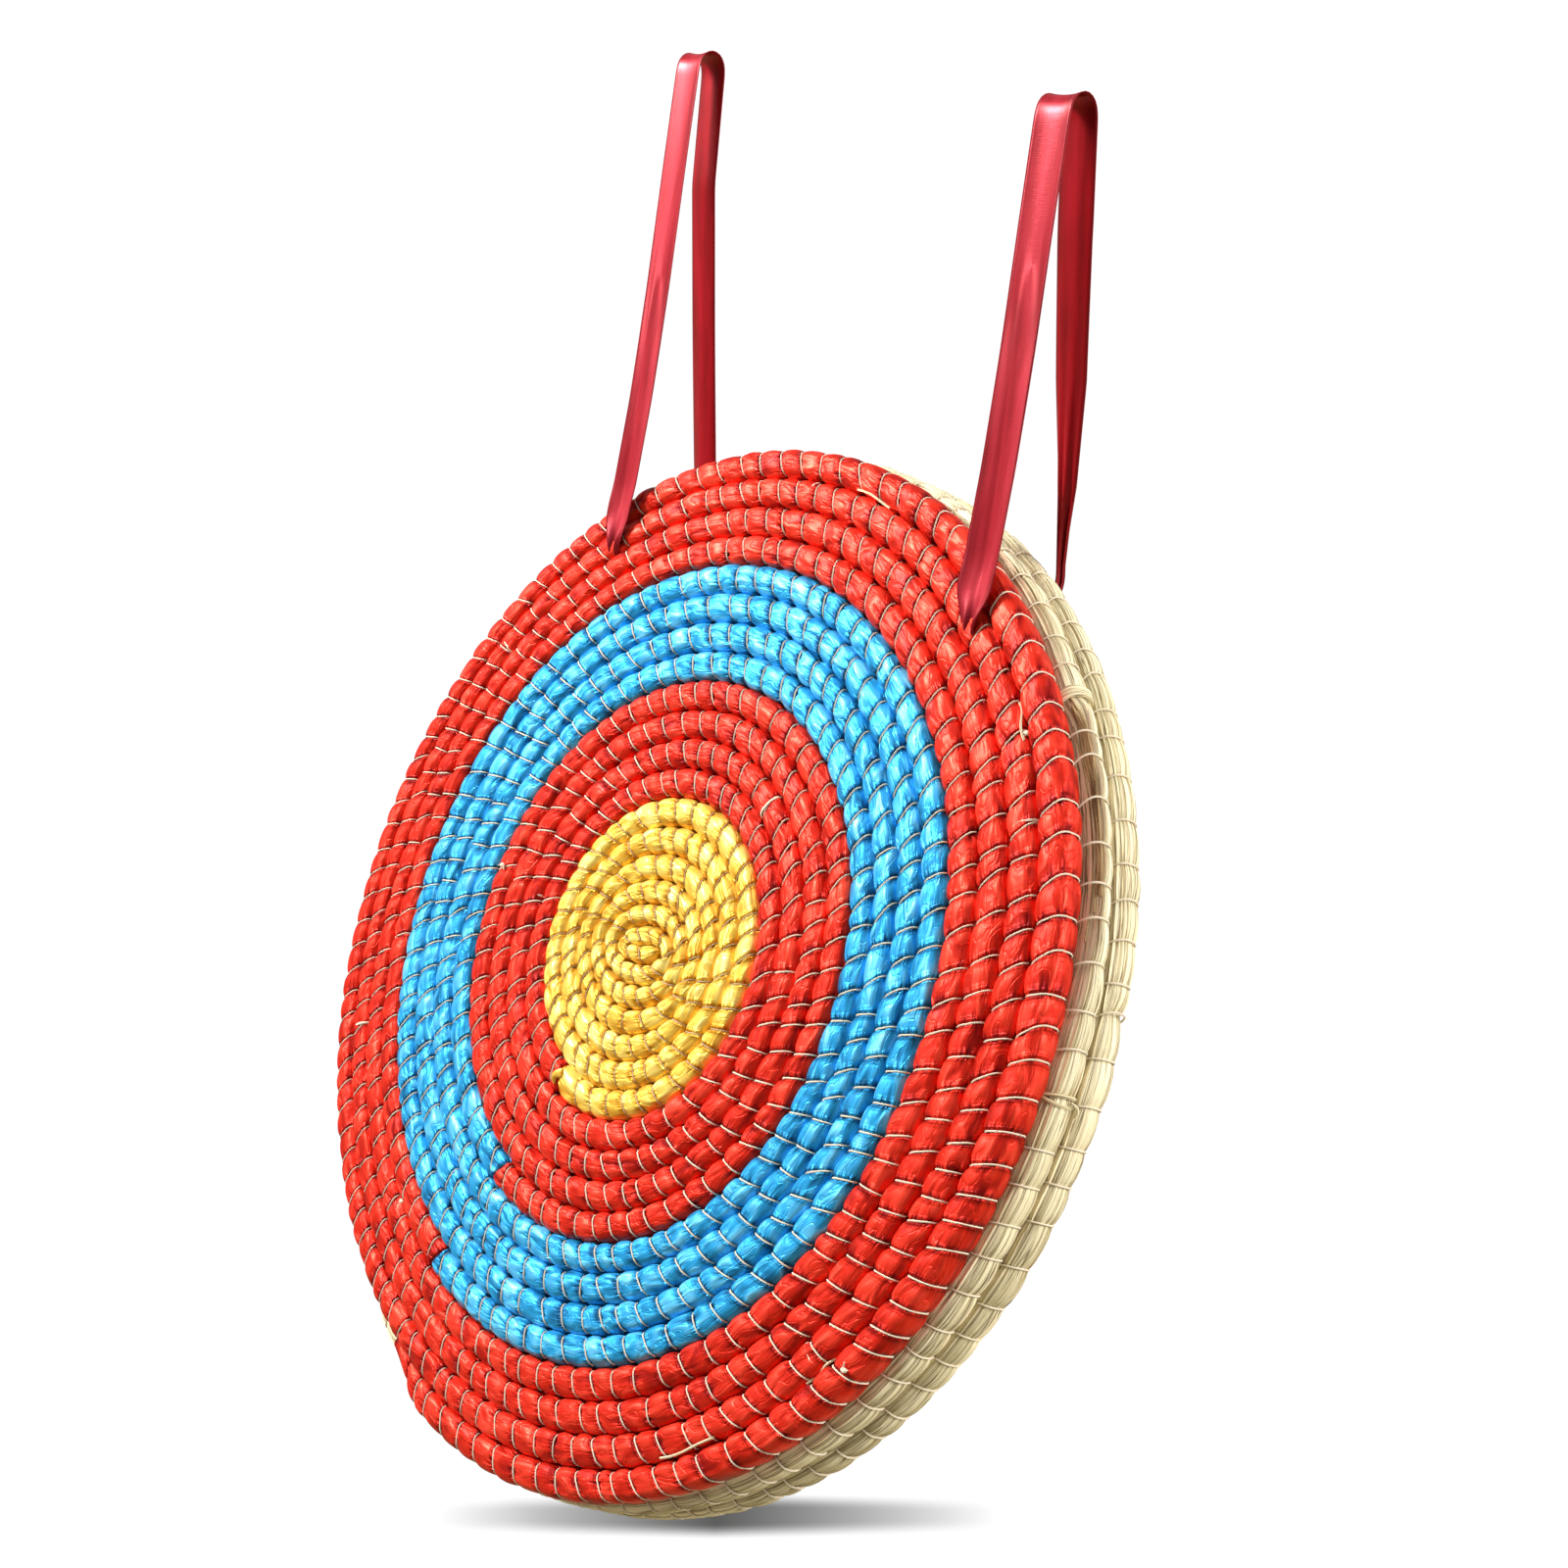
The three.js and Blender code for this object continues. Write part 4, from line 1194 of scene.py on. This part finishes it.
def strip_piece(name, points, along, shaded, thickness):
    """A ribbon from a grid of points, given its thickness, with a darker finish on its inner side"""
    rows, columns = points.shape[:2]
    here = (np.arange(rows - 1)[:, None] * columns + np.arange(columns - 1)).reshape(-1)
    faces = np.stack([here, here + 1, here + columns + 1, here + columns], axis=-1)
    breadth = np.tile(np.linspace(0, RIBBON_UV_WIDTH, columns), rows)
    uv = np.stack([np.repeat(along / UV_UNIT, columns), breadth], axis=-1)
    piece = make_piece(name, points.reshape(-1, 3) / 1000, faces.tolist(), uv[faces.reshape(-1)],
                       {"pinch": shaded}, ribbon_finish())
    bpy.ops.object.mode_set(mode="EDIT")
    bpy.ops.mesh.select_all(action="SELECT")
    bpy.ops.mesh.normals_make_consistent(inside=False)
    bpy.ops.object.mode_set(mode="OBJECT")
    solid = piece.modifiers.new("thickness", "SOLIDIFY")
    solid.thickness, solid.offset = thickness, 0
    # The inner side's own colour, with the painted shade and painted glint colours of its ramp
    piece.data.materials.append(kept(
        "wine_ribbon_inside", ribbon_satin, (0.29, 0.002, 0.006), (0.09, 0.0008, 0.002), (0.5, 0.004, 0.014)))
    solid.material_offset = 1
    bpy.ops.object.modifier_apply(modifier=solid.name)
    return piece


def ribbon_knot(x):
    """The knot that closes a loop behind the boss"""
    back = BACK_PLACE + ROPE_HALF_DEPTH + KNOT_STANDOFF
    return [lump((x, back, HOLE_HEIGHT), (7.6, 4.4, 5.6), 0.4, 11, 14),
            lump((x - 1, back + 1.2, HOLE_HEIGHT + 1.5), (4.2, 4.2, 5.8), 1.7, 9, 12)]


class BOSS_OT_hang_ribbons(bpy.types.Operator):
    """Hang the two ribbon loops, each from its hole at the front to its knot at the back"""

    bl_idname = "target_boss.hang_ribbons"
    bl_label = "Hang the ribbons"

    def execute(self, context):
        width = size_of("ribbon_width")
        for ribbon in RIBBONS:
            side, x = ribbon["side"], ribbon["x"]
            points, steps, shaded = ribbon_strip(ribbon, width)
            thickness = size_of("ribbon_thickness") / 1000
            piece = strip_piece(f"{side}_ribbon", points, steps, shaded, thickness)
            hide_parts(f"{side}_strap_loop", f"{side}_strap_front_leg", f"{side}_strap_back_leg",
                        f"{side}_strap_throat")
            width / 1000
            round(steps[-1] / 1000, 3)
            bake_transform(piece)
            knot = tube_piece(f"{side}_ribbon_knot", ribbon_knot(x), ribbon_finish())
            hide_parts(f"{side}_strap_knot")
        return {"FINISHED"}


# Stage
CAMERA_PLACE = (0.7311, -0.6416, -0.0518)
CAMERA_FORWARD = (-0.7362, 0.5991, -0.3148)
CAMERA_RIGHT = (0.6309, 0.7759, 0.0011)
CAMERA_LENS, CAMERA_SENSOR, CAMERA_SHIFT = 45.43, 36.0, 0.0502
CAMERA_NEAR, CAMERA_FAR = 0.05, 60.0
# A painted shadow on the floor: its middle, its turn and its size
SHADOW_PLACE = (0.1025, -0.1705, 0)
SHADOW_TURN = math.radians(51)
SHADOW_SIZE = (0.134, 0.017, 1)
FLOOR_SIZE, FLOOR_GAP = 40, 0.0005
WHITE = (1.0, 1.0, 1.0, 1)
WARM_WHITE = (1.0, 0.84, 0.46, 1)
ROOM_BRIGHTNESS = 1.05
LIT_PLACE = (0, -0.13, -0.38)
LAMP_DISTANCE = 2.0
LAMPS = (
    ("key", (-0.75, -0.62, 0.85), 0.4, 78),
    ("top", (0.25, -0.2, 1.0), 0.9, 8),
    ("rim", (1.0, 0.5, 0.4), 0.9, 42),
)


class BOSS_OT_set_stage(bpy.types.Operator):
    """Put the boss on a plain pale floor, with soft studio light and the camera"""

    bl_idname = "target_boss.set_stage"
    bl_label = "Set the stage"

    def execute(self, context):
        self.place_camera(context)
        self.lay_floor()
        self.light_room(context)
        self.hang_lamps(context)
        context.scene.view_settings.view_transform = "Standard"
        return {"FINISHED"}

    def place_camera(self, context):
        forward = Vector(CAMERA_FORWARD).normalized()
        up = Vector(CAMERA_RIGHT).normalized().cross(forward).normalized()
        right = forward.cross(up)
        data = bpy.data.cameras.new("camera")
        data.lens, data.sensor_width, data.shift_y = CAMERA_LENS, CAMERA_SENSOR, CAMERA_SHIFT
        data.clip_start, data.clip_end = CAMERA_NEAR, CAMERA_FAR
        camera = bpy.data.objects.new("camera", data)
        turn = Matrix((right, up, -forward)).transposed().to_4x4()
        camera.matrix_world = Matrix.Translation(CAMERA_PLACE) @ turn
        context.scene.collection.objects.link(camera)
        context.scene.camera = camera

    def lay_floor(self):
        """A white floor that glows evenly, with a painted soft shadow: a fixed ellipse near the boss's foot,
        darkest in its middle
        """
        bpy.ops.object.select_all(action="DESELECT")
        bpy.ops.mesh.primitive_plane_add(size=FLOOR_SIZE, location=(0, 0, FLOOR_HEIGHT - FLOOR_GAP))
        floor = bpy.context.active_object
        floor.name = "floor"
        finish = new_finish("white_floor", Roughness=1.0, Specular_IOR_Level=0.0, Emission_Strength=1.0,
                            Base_Color=(0.02, 0.02, 0.02, 1))
        place = finish.node("ShaderNodeTexCoord", None, output=3)
        painted_shadow = finish.node("ShaderNodeMapping", {"vector_type": "TEXTURE"}, place, Location=SHADOW_PLACE,
                             Rotation=(0, 0, SHADOW_TURN), Scale=SHADOW_SIZE)
        far, aside = (abs(finish.node("ShaderNodeSeparateXYZ", None, painted_shadow, output=axis)) for axis in (0, 1))
        # Painted shadow: darkest along the ellipse's middle, fading to its ends and sides
        near = (1 - far).sum("MAXIMUM", 1 - far, 0.0)
        core = near * (1 - (aside + far * 0.25).between(0.35, 1.1))
        floor.data.materials.append(finish.dress(
            Emission_Color=finish.mix((1 - 0.66 * core) ** 2.2, (0.0, 0.0, 0.0, 1), (1.02, 1.02, 1.02, 1))))
        floor.visible_diffuse = False
        floor.visible_glossy = False

    def light_room(self, context):
        """The room is white to the eye, but its light is soft, and warmer and softer still from below"""
        context.scene.world = bpy.data.worlds.new("studio")
        finish = Finish(context.scene.world, "Background")
        place = finish.node("ShaderNodeTexCoord")
        height = finish.node("ShaderNodeSeparateXYZ", None, place, output=2)
        seen = finish.node("ShaderNodeLightPath")
        strength = finish.node("ShaderNodeMapRange", None, height, -0.3, 0.4, 0.45, 0.34)
        colour = finish.mix(finish.node("ShaderNodeMapRange", None, height, -0.5, 0.1), WARM_WHITE, WHITE)
        finish.dress(Color=finish.mix(seen, colour, WHITE),
                     Strength=finish.node("ShaderNodeMix", None, seen, None, strength, ROOM_BRIGHTNESS))

    def hang_lamps(self, context):
        target = Vector(LIT_PLACE)
        for name, direction, size, energy in LAMPS:
            data = bpy.data.lights.new(name, "AREA")
            data.energy, data.size = energy, size
            lamp = bpy.data.objects.new(name, data)
            lamp.location = target + Vector(direction).normalized() * LAMP_DISTANCE
            lamp.rotation_euler = (lamp.location - target).to_track_quat("Z", "Y").to_euler()
            context.scene.collection.objects.link(lamp)


class BOSS_PT_panel(bpy.types.Panel):
    """Every step of making the boss, in order"""

    bl_idname = "BOSS_PT_panel"
    bl_label = "Target boss"
    bl_space_type = "VIEW_3D"
    bl_region_type = "UI"
    bl_category = "Target boss"

    def draw(self, context):
        layout = self.layout
        for group in (context.scene.boss_sizes, context.scene.boss_colours):
            for name in group.__annotations__:
                layout.prop(group, name)
        for operator in OPERATORS:
            layout.operator(operator.bl_idname)


OPERATORS = (
    BOSS_OT_set_stage,
    BOSS_OT_wind_satin,
    BOSS_OT_sew_face,
    BOSS_OT_wind_straw,
    BOSS_OT_sew_straw,
    BOSS_OT_leave_loose_ends,
    BOSS_OT_tie_layers,
    BOSS_OT_hang_ribbons,
)
GROUPS = (BossSizes, BossColours)


def register():
    for group in (*GROUPS, *OPERATORS, BOSS_PT_panel):
        bpy.utils.register_class(group)
    bpy.types.Scene.boss_sizes = bpy.props.PointerProperty(type=BossSizes)
    bpy.types.Scene.boss_colours = bpy.props.PointerProperty(type=BossColours)


def unregister():
    del bpy.types.Scene.boss_sizes
    del bpy.types.Scene.boss_colours
    for group in reversed((*GROUPS, *OPERATORS, BOSS_PT_panel)):
        bpy.utils.unregister_class(group)


def main():
    register()
    for operator in OPERATORS:
        category, name = operator.bl_idname.split(".")
        getattr(getattr(bpy.ops, category), name)()


if __name__ == "__main__":
    main()
